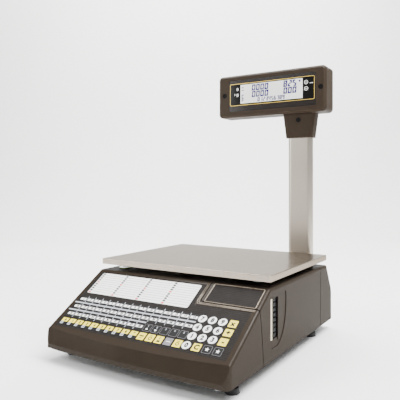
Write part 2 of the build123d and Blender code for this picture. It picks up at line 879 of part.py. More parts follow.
def head_shell(facing):
    """One half of the head's case; facing is -1 for the front half and 1 for the rear."""
    face = head_plane(facing)
    half = head_depth / 2 - split_gap / 2
    pane_depth = window_sink + window_sheet
    with BuildPart() as case:
        with BuildSketch(face):
            with Locations((-facing * head_x, head_mid_z)):
                RectangleRounded(head_width, head_height, head_corner)
        extrude(amount=-half)
        outer_edges = case.faces().sort_by(Axis.Y)[0 if facing < 0 else -1].edges()
        chamfer(outer_edges, length=head_bevel)
        with BuildSketch(face.offset(-head_wall - pane_depth)):
            with Locations((-facing * head_x, head_mid_z)):
                RectangleRounded(
                    head_width - 2 * head_wall,
                    head_height - 2 * head_wall,
                    head_corner - head_wall,
                )
        extrude(amount=-head_depth / 2, mode=Mode.SUBTRACT)
        with BuildSketch(face.offset(-head_wall)):
            with Locations(*[(-facing * x, z) for x, z in head_screw_places]):
                Circle(head_boss / 2)
        extrude(amount=head_wall - half)
        extrude(window_sketch(facing, 0, 0), amount=-pane_depth, mode=Mode.SUBTRACT)
        with BuildSketch(face):
            with Locations((-facing * lcd_x, lcd_z)):
                Rectangle(lcd_width, lcd_height)
        extrude(amount=-half, mode=Mode.SUBTRACT)
        with BuildSketch(Plane.XY.offset(head_z)):
            with Locations((pole_x, pole_y)):
                RectangleRounded(
                    pole_width - 2 * pole_wall,
                    pole_thickness - 2 * pole_wall,
                    pole_corner - pole_wall,
                )
        extrude(amount=head_wall, mode=Mode.SUBTRACT)
    return case.part


def window_pane(facing):
    """Glossy pane set into one face of the head."""
    with BuildPart() as pane:
        extrude(
            window_sketch(facing, window_sink + window_sheet, overlay_play), amount=window_sheet
        )
    return pane.part


def lcd_module(facing):
    """Display module behind the pane; it sits in the case's opening."""
    with BuildPart() as module:
        with BuildSketch(head_plane(facing).offset(-window_sink - window_sheet)):
            with Locations((-facing * lcd_x, lcd_z)):
                Rectangle(lcd_width - 2 * overlay_play, lcd_height - 2 * overlay_play)
        extrude(amount=-lcd_depth)
    return module.part


with BuildPart() as head_front_shell:
    add(head_shell(-1))
    for x, z in head_screw_places:
        with Locations(Plane(origin=(x, head_front_y, z), z_dir=(0, -1, 0))):
            CounterBoreHole(cap_shank / 2 + stem_play, cap_bore / 2, cap_depth, depth=head_depth / 2)
head_front_shell.part.label = "head_front_shell"
export_step(head_front_shell.part, "parts/head_front_shell.step")

with BuildPart() as head_rear_shell:
    add(head_shell(1))
    for x, z in head_screw_places:
        with Locations(Plane(origin=(x, head_mid_y, z), z_dir=(0, -1, 0))):
            Hole(cap_shank / 2 + stem_play, depth=cap_grip)
head_rear_shell.part.label = "head_rear_shell"
export_step(head_rear_shell.part, "parts/head_rear_shell.step")

with BuildPart() as front_window:
    add(window_pane(-1))
front_window.part.label = "front_window"
export_step(front_window.part, "parts/front_window.step")

with BuildPart() as rear_window:
    add(window_pane(1))
rear_window.part.label = "rear_window"
export_step(rear_window.part, "parts/rear_window.step")

with BuildPart() as front_lcd:
    add(lcd_module(-1))
front_lcd.part.label = "front_lcd"
export_step(front_lcd.part, "parts/front_lcd.step")

with BuildPart() as rear_lcd:
    add(lcd_module(1))
rear_lcd.part.label = "rear_lcd"
export_step(rear_lcd.part, "parts/rear_lcd.step")

board_margin = 8.0
link_side = 10.0
link_low = 4.0
link_high = 10.0
with BuildPart() as display_board:
    block(
        (lcd_left, head_mid_y - board_sheet, lcd_low - board_margin),
        (lcd_left + lcd_width, head_mid_y, lcd_low + lcd_height + board_margin),
    )
    module_depth = window_sink + window_sheet + lcd_depth
    block(
        (lcd_left + link_side, head_front_y + module_depth, lcd_low + link_low),
        (lcd_left + lcd_width - link_side, head_mid_y - board_sheet, lcd_low + link_high),
    )
    block(
        (lcd_left + link_side, head_mid_y, lcd_low + link_low),
        (lcd_left + lcd_width - link_side, head_rear_y - module_depth, lcd_low + link_high),
    )
display_board.part.label = "display_board"
export_step(display_board.part, "parts/display_board.step")

cap_height = 2.0
neck_cap_height = 1.5
with BuildPart() as head_screws:
    for x, z in head_screw_places:
        with BuildSketch(Plane(origin=(x, head_front_y + cap_depth, z), z_dir=(0, -1, 0))):
            Circle(cap_head / 2)
        extrude(amount=cap_height)
        with BuildSketch(Plane(origin=(x, head_front_y + cap_depth, z), z_dir=(0, -1, 0))):
            Circle(cap_shank / 2)
        extrude(amount=cap_depth - head_depth / 2 - cap_grip / 2)
    with BuildSketch(Plane(origin=(pole_x, neck_face_y + cap_sink, neck_screw_z), z_dir=(0, -1, 0))):
        Circle(cap_head / 2)
    extrude(amount=neck_cap_height)
    with BuildSketch(Plane(origin=(pole_x, neck_face_y + cap_sink, neck_screw_z), z_dir=(0, -1, 0))):
        Circle(cap_shank / 2)
    extrude(amount=cap_sink - neck_wall)
head_screws.part.label = "head_screws"
export_step(head_screws.part, "parts/head_screws.step")

# ---------------------------------------------------------------- printer cassette
deck_low = deck_z - wall
cassette_z = tray_z + cassette_rise
cassette_top = cassette_z + cassette_floor
flange_sheet = 2.0
flange_extra = 2.0          # how far the flange stands out round the full roll
roll_rear = 12.0            # full spool to the frame's rear edge
roll_side = 4.0             # full spool to the door's inner face
roll_play = 2.0             # full spool to the frame's wall
spool_width = roll_diameter + 2 * flange_extra
frame_left = side_x - wall - roll_side - spool_width - roll_play - cassette_wall
frame_right = side_x - wall
frame_front = door_front_y + 25.0
frame_rear = door_rear_y - 9.0
frame_high = deck_low - 3.0
slot_low_z = tray_z + slot_low
slot_high_z = slot_low_z + slot_height
slot_front_y = slope_top_y + slot_front
slot_rear_y = slot_front_y + slot_length
dish_depth = 1.2
dish_rise = 4.0
dish_foot = 14.0
dish_run = 33.0
logo_side = 10.5
logo_gap = 5.0

with BuildPart() as cassette_cover:
    add(outer_form)
    add(inner_form, mode=Mode.SUBTRACT)
    add(cassette_opening(door_gap), mode=Mode.INTERSECT)
    block(
        (side_x - 2 * wall, slot_front_y, slot_low_z),
        (side_x + wall, slot_rear_y, slot_high_z),
        mode=Mode.SUBTRACT,
    )
    sill_z = slot_low_z - slot_sill
    with BuildSketch(Plane.XZ.offset(-slot_front_y)):
        with BuildLine():
            Polyline(
                (side_x + wall, slot_low_z),
                (side_x - wall, slot_low_z),
                (side_x - dish_depth, sill_z),
                (side_x + wall, sill_z),
                close=True,
            )
        make_face()
    extrude(amount=-slot_length, mode=Mode.SUBTRACT)
    dish_high = slot_high_z + dish_rise
    dish_low = slot_low_z - dish_foot
    with BuildSketch(Plane.YZ.offset(side_x - dish_depth)):
        with BuildLine():
            Polyline(
                (slot_rear_y + dish_run, dish_high),
                (slot_front_y, dish_high),
                (slot_front_y, slot_low_z),
                (slot_front_y + dish_rise, dish_low),
                (slot_rear_y - dish_rise, dish_low),
            )
            Spline(
                (slot_rear_y - dish_rise, dish_low),
                (slot_rear_y + dish_run / 2, slot_low_z),
                (slot_rear_y + dish_run - dish_rise, (2 * slot_low_z + slot_high_z) / 3),
                (slot_rear_y + dish_run, dish_high),
            )
        make_face()
    extrude(amount=2 * dish_depth, mode=Mode.SUBTRACT)
    with BuildSketch(slope.offset(-overlay_sink)):
        with BuildLine():
            Polyline(
                (side_x - door_side + logo_side, door_slope + logo_gap),
                (side_x - logo_side, door_slope + logo_gap),
                (side_x - logo_side, slope_length - logo_gap),
                (side_x - door_side + logo_side, slope_length - logo_gap),
                close=True,
            )
        make_face()
    extrude(amount=overhang, mode=Mode.SUBTRACT)
cassette_cover.part.label = "cassette_cover"
export_step(cassette_cover.part, "parts/cassette_cover.step")

with BuildPart() as name_panel:
    with BuildSketch(slope.offset(-overlay_sink)):
        with BuildLine():
            Polyline(
                (side_x - door_side + logo_side, door_slope + logo_gap),
                (side_x - logo_side, door_slope + logo_gap),
                (side_x - logo_side, slope_length - logo_gap),
                (side_x - door_side + logo_side, slope_length - logo_gap),
                close=True,
            )
        make_face()
        offset(amount=-overlay_play, kind=Kind.INTERSECTION)
    extrude(amount=overlay_sheet)
name_panel.part.label = "name_panel"
export_step(name_panel.part, "parts/name_panel.step")

bar_back = 8.0              # how far the bar reaches in from the side
bar_nose = 1.2
with BuildPart() as peel_bar:
    with BuildSketch(Plane.XY.offset(slot_low_z)):
        with BuildLine():
            Polyline(
                (side_x - bar_back, slot_front_y),
                (side_x - dish_depth - bar_bulge, slot_front_y),
                (side_x - dish_depth, slot_front_y + bar_width),
                (side_x - bar_back, slot_front_y + bar_width),
                close=True,
            )
        make_face()
        fillet(vertices().sort_by(Axis.X)[-1], radius=bar_nose)
    extrude(amount=slot_height)
peel_bar.part.label = "peel_bar"
export_step(peel_bar.part, "parts/peel_bar.step")

comb_teeth = 8
comb_pitch = slot_height / comb_teeth
comb_back = 10.0            # how far the comb reaches in from the side
comb_spine = 3.0
comb_width = 5.5
comb_x = side_x - comb_back
comb_depth = 13.5
comb_gap = 2.5
with BuildPart() as guide_comb:
    block(
        (comb_x, slot_rear_y - comb_spine, cassette_top),
        (comb_x + comb_width, slot_rear_y, slot_high_z),
    )
    for tooth in range(comb_teeth):
        tooth_z = slot_low_z + tooth * comb_pitch
        block(
            (comb_x, slot_rear_y - comb_depth, tooth_z + comb_gap / 2),
            (comb_x + comb_width, slot_rear_y - comb_spine, tooth_z + comb_pitch - comb_gap / 2),
        )
guide_comb.part.label = "guide_comb"
export_step(guide_comb.part, "parts/guide_comb.step")

with BuildPart() as cassette_frame:
    block((frame_left, frame_front, cassette_z), (frame_right, frame_rear, cassette_top))
    block(
        (frame_left, frame_front, cassette_z),
        (frame_left + cassette_wall, frame_rear, frame_high),
    )
    add(inner_form, mode=Mode.INTERSECT)
cassette_frame.part.label = "cassette_frame"
export_step(cassette_frame.part, "parts/cassette_frame.step")

rail_width = 8.0
rail_gap = 0.3
rail_in = 4.0
with BuildPart() as cassette_rails:
    for y in (frame_front + rail_in, frame_rear - rail_in - rail_width):
        block(
            (frame_left, y, floor_z),
            (side_x - tray_inset - 2 * tray_wall, y + rail_width, cassette_z - rail_gap),
        )
cassette_rails.part.label = "cassette_rails"
export_step(cassette_rails.part, "parts/cassette_rails.step")

# Label roll on its spool
web_low = tray_z + web_rise
roll_x = side_x - wall - roll_side - spool_width / 2
roll_y = frame_rear - roll_rear - spool_width / 2
hub_play = 0.2
step_gap = 1.0              # hub above the spindle's step
spindle_over = 6.0          # spindle above the paper
spindle_top = web_low + roll_width + spindle_over

rewind_diameter = 50.0
rewind_side = 8.0           # rewind spool to the frame's wall
spool_gap = 8.0             # between the two spools
liner_step = 6.0            # rewind flange round the liner that is wound on
rewind_x = frame_left + cassette_wall + rewind_diameter / 2 + rewind_side
rewind_y = roll_y - spool_width / 2 - rewind_diameter / 2 - spool_gap
with BuildPart() as roll_spindles:
    for x, y in ((roll_x, roll_y), (rewind_x, rewind_y)):
        post(x, y, cassette_top, spindle_top, spindle_diameter)
        post(x, y, cassette_top, web_low - flange_sheet - step_gap, 2 * spindle_diameter)
roll_spindles.part.label = "roll_spindles"
export_step(roll_spindles.part, "parts/roll_spindles.step")


def spool_hub(x, y, barrel, flange):
    """Hub with one flange that turns on a fixed spindle."""
    with BuildPart() as hub:
        post(x, y, web_low - flange_sheet, web_low, flange)
        post(x, y, web_low, web_low + roll_width, barrel)
        post(
            x,
            y,
            web_low - flange_sheet,
            web_low + roll_width,
            spindle_diameter + 2 * run_clearance,
            Mode.SUBTRACT,
        )
    return hub.part


def paper_roll(x, y, barrel, outer):
    """Wound paper on a hub."""
    with BuildPart() as roll:
        post(x, y, web_low, web_low + roll_width, outer)
        post(x, y, web_low, web_low + roll_width, barrel + 2 * hub_play, Mode.SUBTRACT)
    return roll.part


rewind_core = 22.0
with BuildPart() as supply_hub:
    add(spool_hub(roll_x, roll_y, core_diameter, spool_width))
supply_hub.part.label = "supply_hub"
export_step(supply_hub.part, "parts/supply_hub.step")

with BuildPart() as label_roll:
    add(paper_roll(roll_x, roll_y, core_diameter, roll_diameter))
label_roll.part.label = "label_roll"
export_step(label_roll.part, "parts/label_roll.step")

with BuildPart() as rewind_hub:
    add(spool_hub(rewind_x, rewind_y, rewind_core, rewind_diameter))
rewind_hub.part.label = "rewind_hub"
export_step(rewind_hub.part, "parts/rewind_hub.step")

with BuildPart() as liner_roll:
    add(paper_roll(rewind_x, rewind_y, rewind_core, rewind_diameter - 2 * liner_step))
liner_roll.part.label = "liner_roll"
export_step(liner_roll.part, "parts/liner_roll.step")

# Platen, its drive and the print head
platen_x = side_x - 23.0
platen_y = slot_rear_y - 14.0
platen_end = 0.5            # rubber past the paper's edge
bracket_sheet = 3.0
bracket_gap = 2.0           # bracket to the paper's edge
bracket_side = 8.0
bracket_rear = 10.0
bracket_front = 6.0
bracket_low = web_low - bracket_sheet - bracket_gap
bracket_high = web_low + roll_width + bracket_gap
bush_diameter = 9.0
pulley_gap = 2.0
shaft_end = 1.0
shaft_over = 3.0
pulley_low = bracket_high + bracket_sheet + pulley_gap
shaft_top = pulley_low + belt_width + shaft_end
shaft_low = bracket_low - shaft_over
motor_play = 1.0
motor_x = frame_left + cassette_wall + motor_size / 2 + motor_play
motor_y = platen_y + motor_play
motor_corner = 4.0
rotor_length = 11.0
boss_play = 2.0
pivot_x = platen_x - 22.0
pivot_y = slot_front_y - 9.5
pin_diameter = 5.0
web_high = web_low + roll_width

with BuildPart() as platen_roller:
    post(platen_x, platen_y, web_low - platen_end, web_high + platen_end, platen_diameter)
    post(platen_x, platen_y, shaft_low, web_low - platen_end, platen_shaft)
    post(platen_x, platen_y, web_high + platen_end, shaft_top, platen_shaft)
platen_roller.part.label = "platen_roller"
export_step(platen_roller.part, "parts/platen_roller.step")

with BuildPart() as platen_pulley:
    post(platen_x, platen_y, pulley_low, pulley_low + belt_width, 2 * platen_pulley_radius)
    post(platen_x, platen_y, pulley_low, pulley_low + belt_width, platen_shaft, Mode.SUBTRACT)
platen_pulley.part.label = "platen_pulley"
export_step(platen_pulley.part, "parts/platen_pulley.step")

with BuildPart() as printer_brackets:
    for z in (bracket_low, bracket_high):
        top = z + bracket_sheet
        block(
            (frame_left + cassette_wall, pivot_y - bracket_front, z),
            (platen_x + bracket_side, platen_y + bracket_rear, top),
        )
        post(platen_x, platen_y, z, top, bush_diameter, Mode.SUBTRACT)
        post(pivot_x, pivot_y, z, top, pin_diameter, Mode.SUBTRACT)
    rotor_hole = platen_shaft + 2 * boss_play
    post(motor_x, motor_y, bracket_high, bracket_high + bracket_sheet, rotor_hole, Mode.SUBTRACT)
    motor_room = motor_size / 2 + motor_play
    block(
        (frame_left + cassette_wall, motor_y - motor_room, bracket_low),
        (motor_x + motor_room, motor_y + motor_room, bracket_low + bracket_sheet),
        mode=Mode.SUBTRACT,
    )
printer_brackets.part.label = "printer_brackets"
export_step(printer_brackets.part, "parts/printer_brackets.step")

with BuildPart() as platen_bushes:
    bush_bore = platen_shaft + 2 * run_clearance
    for z in (bracket_low, bracket_high):
        post(platen_x, platen_y, z, z + bracket_sheet, bush_diameter)
        post(platen_x, platen_y, z, z + bracket_sheet, bush_bore, Mode.SUBTRACT)
platen_bushes.part.label = "platen_bushes"
export_step(platen_bushes.part, "parts/platen_bushes.step")

rotor_low = bracket_high - rotor_length
with BuildPart() as feed_motor:
    block(
        (motor_x - motor_size / 2, motor_y - motor_size / 2, bracket_high - motor_height),
        (motor_x + motor_size / 2, motor_y + motor_size / 2, bracket_high),
    )
    chamfer(feed_motor.edges().filter_by(Axis.Z), length=motor_corner)
    post(motor_x, motor_y, rotor_low - shaft_end, bracket_high, bush_bore, Mode.SUBTRACT)
feed_motor.part.label = "feed_motor"
export_step(feed_motor.part, "parts/feed_motor.step")

with BuildPart() as motor_shaft:
    post(motor_x, motor_y, rotor_low, shaft_top, platen_shaft)
motor_shaft.part.label = "motor_shaft"
export_step(motor_shaft.part, "parts/motor_shaft.step")

with BuildPart() as motor_pulley:
    post(motor_x, motor_y, pulley_low, pulley_low + belt_width, 2 * motor_pulley_radius)
    post(motor_x, motor_y, pulley_low, pulley_low + belt_width, platen_shaft, Mode.SUBTRACT)
motor_pulley.part.label = "motor_pulley"
export_step(motor_pulley.part, "parts/motor_pulley.step")

belt_play = 0.3
with BuildPart() as drive_belt:
    for grow, mode in ((belt_play + belt_thickness, Mode.ADD), (belt_play, Mode.SUBTRACT)):
        with BuildSketch(Plane.XY.offset(pulley_low)):
            with Locations((motor_x, motor_y)):
                Circle(motor_pulley_radius + grow)
            with Locations((platen_x, platen_y)):
                Circle(platen_pulley_radius + grow)
            make_hull()
        extrude(amount=belt_width, mode=mode)
drive_belt.part.label = "drive_belt"
export_step(drive_belt.part, "parts/drive_belt.step")

head_gap = 0.4              # print head to the platen
head_bar_depth = 6.0
head_bar_left = 8.0
head_bar_right = 6.0
arm_play = 0.5
arm_sheet = 4.0
arm_eye = 10.0
arm_pad_in = 8.0
bar_rear_y = platen_y - platen_diameter / 2 - head_gap
bar_front_y = bar_rear_y - head_bar_depth
arm_low_z = bracket_low + bracket_sheet + arm_play
arm_high_z = bracket_high - arm_play
pin_bore = pin_diameter + 2 * run_clearance
with BuildPart() as head_arm:
    post(pivot_x, pivot_y, arm_low_z, arm_high_z, arm_eye)
    block(
        (pivot_x, pivot_y + 1 - arm_sheet, arm_low_z),
        (platen_x + head_bar_right, pivot_y + 1, arm_high_z),
    )
    block(
        (platen_x - head_bar_left, pivot_y + 1, web_low + arm_pad_in),
        (platen_x + head_bar_right, bar_front_y, web_high - arm_pad_in),
    )
    post(pivot_x, pivot_y, arm_low_z, arm_high_z, pin_bore, Mode.SUBTRACT)
head_arm.part.label = "head_arm"
export_step(head_arm.part, "parts/head_arm.step")

with BuildPart() as print_head:
    block(
        (platen_x - head_bar_left, bar_front_y, web_low),
        (platen_x + head_bar_right, bar_rear_y, web_high),
    )
print_head.part.label = "print_head"
export_step(print_head.part, "parts/print_head.step")

sensor_x = platen_x - 34.0
sensor_y = platen_y + 14.0
sensor_post = (10.0, 6.0)
sensor_fork = (18.0, 12.0)
sensor_slot = (4.0, 8.0)    # front and rear of the slit that the paper runs through
sensor_low = web_low + 10.0
sensor_high = web_low + 30.0
with BuildPart() as label_sensor:
    block(
        (sensor_x, sensor_y, cassette_top),
        (sensor_x + sensor_post[0], sensor_y + sensor_post[1], sensor_high),
    )
    block(
        (sensor_x, sensor_y, sensor_low),
        (sensor_x + sensor_fork[0], sensor_y + sensor_fork[1], sensor_high),
    )
    block(
        (sensor_x + sensor_post[0], sensor_y + sensor_slot[0], sensor_low - 1),
        (sensor_x + sensor_fork[0] + 1, sensor_y + sensor_slot[1], sensor_high + 1),
        mode=Mode.SUBTRACT,
    )
label_sensor.part.label = "label_sensor"
export_step(label_sensor.part, "parts/label_sensor.step")

# Latch that holds the cassette in: shown open, it swings a quarter turn to hook the catch
latch_sheet = 2.5
latch_x = side_x - 55.0
latch_y = frame_rear - 40.0
latch_low = floor_z + 1.5
latch_high = latch_low + latch_sheet
latch_reach = 24.0
latch_arm = 8.0
latch_eye = 14.0
latch_grip = 6.0            # finger end in from the door's inner face
catch_width = 8.1
catch_gap = 2.0
catch_x = latch_x + latch_arm / 2 + 3 * rail_gap
with BuildPart() as cassette_latch:
    post(latch_x, latch_y, latch_low, latch_high, latch_eye)
    block(
        (latch_x - latch_reach, latch_y - latch_arm / 2, latch_low),
        (frame_right - latch_grip, latch_y + latch_arm / 2, latch_high),
    )
    post(latch_x, latch_y, latch_low, latch_high, pin_bore, Mode.SUBTRACT)
cassette_latch.part.label = "cassette_latch"
export_step(cassette_latch.part, "parts/cassette_latch.step")

with BuildPart() as latch_catch:
    block(
        (catch_x, latch_y + latch_reach / 2, floor_z),
        (catch_x + catch_width, latch_y + latch_reach - catch_gap, latch_high),
    )
latch_catch.part.label = "latch_catch"
export_step(latch_catch.part, "parts/latch_catch.step")

with BuildPart() as hinge_pins:
    post(pivot_x, pivot_y, bracket_low, bracket_high + bracket_sheet, pin_diameter)
    post(latch_x, latch_y, latch_low, cassette_z, pin_diameter)
hinge_pins.part.label = "hinge_pins"
export_step(hinge_pins.part, "parts/hinge_pins.step")
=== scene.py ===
"""Looks of a label printing scale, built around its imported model.

The sloped keyboard, the printer door, the weighing plate and the display column keep their
modelled shapes. This file prints the keys and cards, lays the beads and display faces on them,
gives every part its finish, and sets the camera and the studio.
"""

import logging
import math
from dataclasses import dataclass, field
from enum import Enum
from typing import Sequence

import bmesh
import bpy
from mathutils import Matrix, Vector


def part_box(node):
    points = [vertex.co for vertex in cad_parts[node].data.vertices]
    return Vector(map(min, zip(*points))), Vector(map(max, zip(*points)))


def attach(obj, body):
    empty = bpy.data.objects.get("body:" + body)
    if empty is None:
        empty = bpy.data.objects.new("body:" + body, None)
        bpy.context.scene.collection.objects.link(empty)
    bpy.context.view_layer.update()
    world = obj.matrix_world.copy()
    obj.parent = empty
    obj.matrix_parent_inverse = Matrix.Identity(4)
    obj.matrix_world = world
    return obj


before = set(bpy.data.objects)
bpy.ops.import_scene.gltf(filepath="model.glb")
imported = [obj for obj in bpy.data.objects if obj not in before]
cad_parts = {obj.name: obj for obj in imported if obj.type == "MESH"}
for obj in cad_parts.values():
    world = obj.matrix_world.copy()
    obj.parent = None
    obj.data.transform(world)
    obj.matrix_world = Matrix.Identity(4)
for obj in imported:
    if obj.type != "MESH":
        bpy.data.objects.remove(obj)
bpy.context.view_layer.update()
log = logging.getLogger("scale")

MM = 0.001
Point = tuple[float, float]
Colour = tuple[float, float, float]

NOISE_LOW = 0.3  # noise values mostly lie between these two
NOISE_HIGH = 0.7
CORNER_STEPS = 6  # straight pieces in a quarter turn
DISC_STEPS = 28
STAR_WAIST = 0.42  # inner radius of a star as a share of the outer one
FLAKE_SHARE = 0.8  # how much of the metallic colour change is fine flakes
CLOUD_SHARE = 0.2  # how much is slow cloudiness


def paint(red: int, green: int, blue: int) -> Colour:
    """Turn a screen colour into a linear one.

    Args:
        red: Red, 0 to 255.
        green: Green, 0 to 255.
        blue: Blue, 0 to 255.

    Returns:
        The linear colour.
    """
    return tuple(
        c / 255 / 12.92 if c <= 10 else ((c / 255 + 0.055) / 1.055) ** 2.4
        for c in (red, green, blue)
    )


class Grain(Enum):
    """Directions that a surface's grain can run in."""

    EVEN = (1.0, 1.0, 1.0)
    ALONG_X = (0.04, 1.0, 1.0)
    ALONG_Z = (1.0, 1.0, 0.03)


# ---- finishes
class Shader:
    """A material whose surface is one Principled shader with worked-out inputs."""

    def __init__(self, name: str) -> None:
        """Start an empty material.

        Args:
            name: The material's name.
        """
        self.material = bpy.data.materials.new(name)
        self.material.use_nodes = True
        self.nodes = self.material.node_tree.nodes
        self.links = self.material.node_tree.links
        self.surface = self.nodes["Principled BSDF"]
        self.place = self.nodes.new("ShaderNodeTexCoord").outputs["Object"]

    def set(self, **values: float | Sequence[float]) -> None:
        """Set numbers that are the same all over, by socket name with _ for a space."""
        for key, value in values.items():
            self.surface.inputs[key.replace("_", " ")].default_value = value

    def stretched(self, grain: Grain) -> bpy.types.NodeSocket:
        """Give the place of a point, squeezed along the grain."""
        mapping = self.nodes.new("ShaderNodeMapping")
        mapping.inputs["Scale"].default_value = grain.value
        self.links.new(self.place, mapping.inputs["Vector"])
        return mapping.outputs["Vector"]

    def noise(
        self, scale: float, detail: float, grain: Grain = Grain.EVEN
    ) -> bpy.types.NodeSocket:
        """Give a noise value between 0 and 1.

        Args:
            scale: Noise cells per metre.
            detail: Octaves of finer noise.
            grain: Direction that the noise is drawn out along.

        Returns:
            The socket that carries the value.
        """
        node = self.nodes.new("ShaderNodeTexNoise")
        node.inputs["Scale"].default_value = scale
        node.inputs["Detail"].default_value = detail
        self.links.new(self.stretched(grain), node.inputs["Vector"])
        return node.outputs["Fac"]

    def spots(self, scale: float) -> bpy.types.NodeSocket:
        """Give the distance to the nearest of many scattered points, cells per metre."""
        node = self.nodes.new("ShaderNodeTexVoronoi")
        node.inputs["Scale"].default_value = scale
        node.inputs["Randomness"].default_value = 0.15
        self.links.new(self.place, node.inputs["Vector"])
        return node.outputs["Distance"]

    def band(self, value: bpy.types.NodeSocket, low: float, high: float) -> bpy.types.NodeSocket:
        """Map the middle of a noise value onto a range of numbers."""
        node = self.nodes.new("ShaderNodeMapRange")
        node.inputs["From Min"].default_value = NOISE_LOW
        node.inputs["From Max"].default_value = NOISE_HIGH
        node.inputs["To Min"].default_value = low
        node.inputs["To Max"].default_value = high
        self.links.new(value, node.inputs["Value"])
        return node.outputs["Result"]

    def colour(self, value: bpy.types.NodeSocket, low: Colour, high: Colour) -> None:
        """Vary the surface's colour between two colours by a value."""
        ramp = self.nodes.new("ShaderNodeValToRGB")
        ramp.color_ramp.elements[0].position = NOISE_LOW
        ramp.color_ramp.elements[1].position = NOISE_HIGH
        ramp.color_ramp.elements[0].color = (*low, 1.0)
        ramp.color_ramp.elements[1].color = (*high, 1.0)
        self.links.new(value, ramp.inputs["Fac"])
        self.links.new(ramp.outputs["Color"], self.surface.inputs["Base Color"])

    def rough(self, value: bpy.types.NodeSocket, low: float, high: float) -> None:
        """Vary the surface's roughness between two numbers by a value."""
        self.links.new(self.band(value, low, high), self.surface.inputs["Roughness"])

    def bump(self, value: bpy.types.NodeSocket, height: float, strength: float = 0.5) -> None:
        """Raise the surface by a value, height in metres."""
        node = self.nodes.new("ShaderNodeBump")
        node.inputs["Strength"].default_value = strength
        node.inputs["Distance"].default_value = height
        self.links.new(value, node.inputs["Height"])
        self.links.new(node.outputs["Normal"], self.surface.inputs["Normal"])


def shade(colour: Colour, factor: float) -> Colour:
    """Give a colour made lighter or darker by a factor."""
    return tuple(min(1.0, c * factor) for c in colour)


def new_object(
    name: str, mesh: bmesh.types.BMesh, material: bpy.types.Material, smooth: bool = False
) -> bpy.types.Object:
    """Turn a finished shape into an object of the scene.

    Args:
        name: The object's name.
        mesh: Its shape, which is used up.
        material: Its finish.
        smooth: Whether to shade it all as one curved surface.

    Returns:
        The new object.
    """
    data = bpy.data.meshes.new(name)
    mesh.to_mesh(data)
    mesh.free()
    if smooth:
        for polygon in data.polygons:
            polygon.use_smooth = True
    data.materials.append(material)
    made = bpy.data.objects.new(name, data)
    bpy.context.scene.collection.objects.link(made)
    return made


@dataclass(frozen=True)
class Finish:
    """A surface finish that varies softly over the part.

    Attributes:
        name: The material's name.
        base: Main colour, linear.
        spread: How far the colour wanders either way, as a share.
        roughness: Lowest and highest roughness.
        grain_scale: Fine grain's cells per metre.
        grain_height: Fine grain's height in metres.
        grain: Direction of the fine grain.
        metallic: How much it shines as metal.
        coat: Clear coat's weight.
        patch_scale: Cells per metre of the slow colour change.
        shine: Strength of the surface reflection, 0.5 for plain plastic.
        edge: How much of the reflection is left at a flat angle, for metal.
    """

    name: str
    base: Colour
    spread: float
    roughness: Point
    grain_scale: float
    grain_height: float
    grain: Grain = Grain.EVEN
    metallic: float = 0.0
    coat: float = 0.0
    patch_scale: float = 35.0
    shine: float = 0.5
    edge: float = 1.0

    def build(self) -> bpy.types.Material:
        """Make the material."""
        shader = Shader(self.name)
        slow = shader.noise(self.patch_scale, 3.0)
        fine = shader.noise(self.grain_scale, 2.0, self.grain)
        shader.colour(slow, shade(self.base, 1 - self.spread), shade(self.base, 1 + self.spread))
        shader.rough(fine, *self.roughness)
        shader.bump(fine, self.grain_height)
        shader.set(
            Metallic=self.metallic,
            Coat_Weight=self.coat,
            Specular_IOR_Level=self.shine,
            Specular_Tint=(self.edge, self.edge, self.edge, 1.0),
        )
        return shader.material


@dataclass(frozen=True)
class MetallicPaint(Finish):
    """Moulded plastic with metal flakes in it: a fine sparkle over a slow colour change."""

    flake: Colour = (0.3, 0.26, 0.2)
    flake_scale: float = 2600.0

    def build(self) -> bpy.types.Material:
        """Make the material."""
        shader = Shader(self.name)
        flakes = shader.noise(self.flake_scale, 1.0)
        slow = shader.noise(self.patch_scale, 3.0)
        total = shader.nodes.new("ShaderNodeMath")
        total.operation = "MULTIPLY_ADD"
        total.inputs[1].default_value = FLAKE_SHARE
        cloud = shader.nodes.new("ShaderNodeMath")
        cloud.operation = "MULTIPLY"
        cloud.inputs[1].default_value = CLOUD_SHARE
        shader.links.new(slow, cloud.inputs[0])
        shader.links.new(flakes, total.inputs[0])
        shader.links.new(cloud.outputs[0], total.inputs[2])
        shader.colour(total.outputs[0], shade(self.base, 1 - self.spread), self.flake)
        shader.rough(slow, *self.roughness)
        shader.bump(shader.noise(self.grain_scale, 2.0), self.grain_height, 0.35)
        shader.set(
            Metallic=self.metallic,
            Coat_Weight=self.coat,
            Coat_Roughness=0.18,
            Specular_IOR_Level=self.shine,
        )
        return shader.material


@dataclass(frozen=True)
class DottedFilm(Finish):
    """Printed film with a close regular dot pattern under a satin face."""

    dot: Colour = (0.07, 0.063, 0.058)
    dot_scale: float = 480.0

    def build(self) -> bpy.types.Material:
        """Make the material."""
        shader = Shader(self.name)
        dots = shader.spots(self.dot_scale)
        shader.colour(dots, self.dot, self.base)
        shader.rough(shader.noise(self.patch_scale, 3.0), *self.roughness)
        shader.bump(shader.noise(self.grain_scale, 2.0), self.grain_height, 0.3)
        shader.set(Specular_IOR_Level=self.shine)
        return shader.material


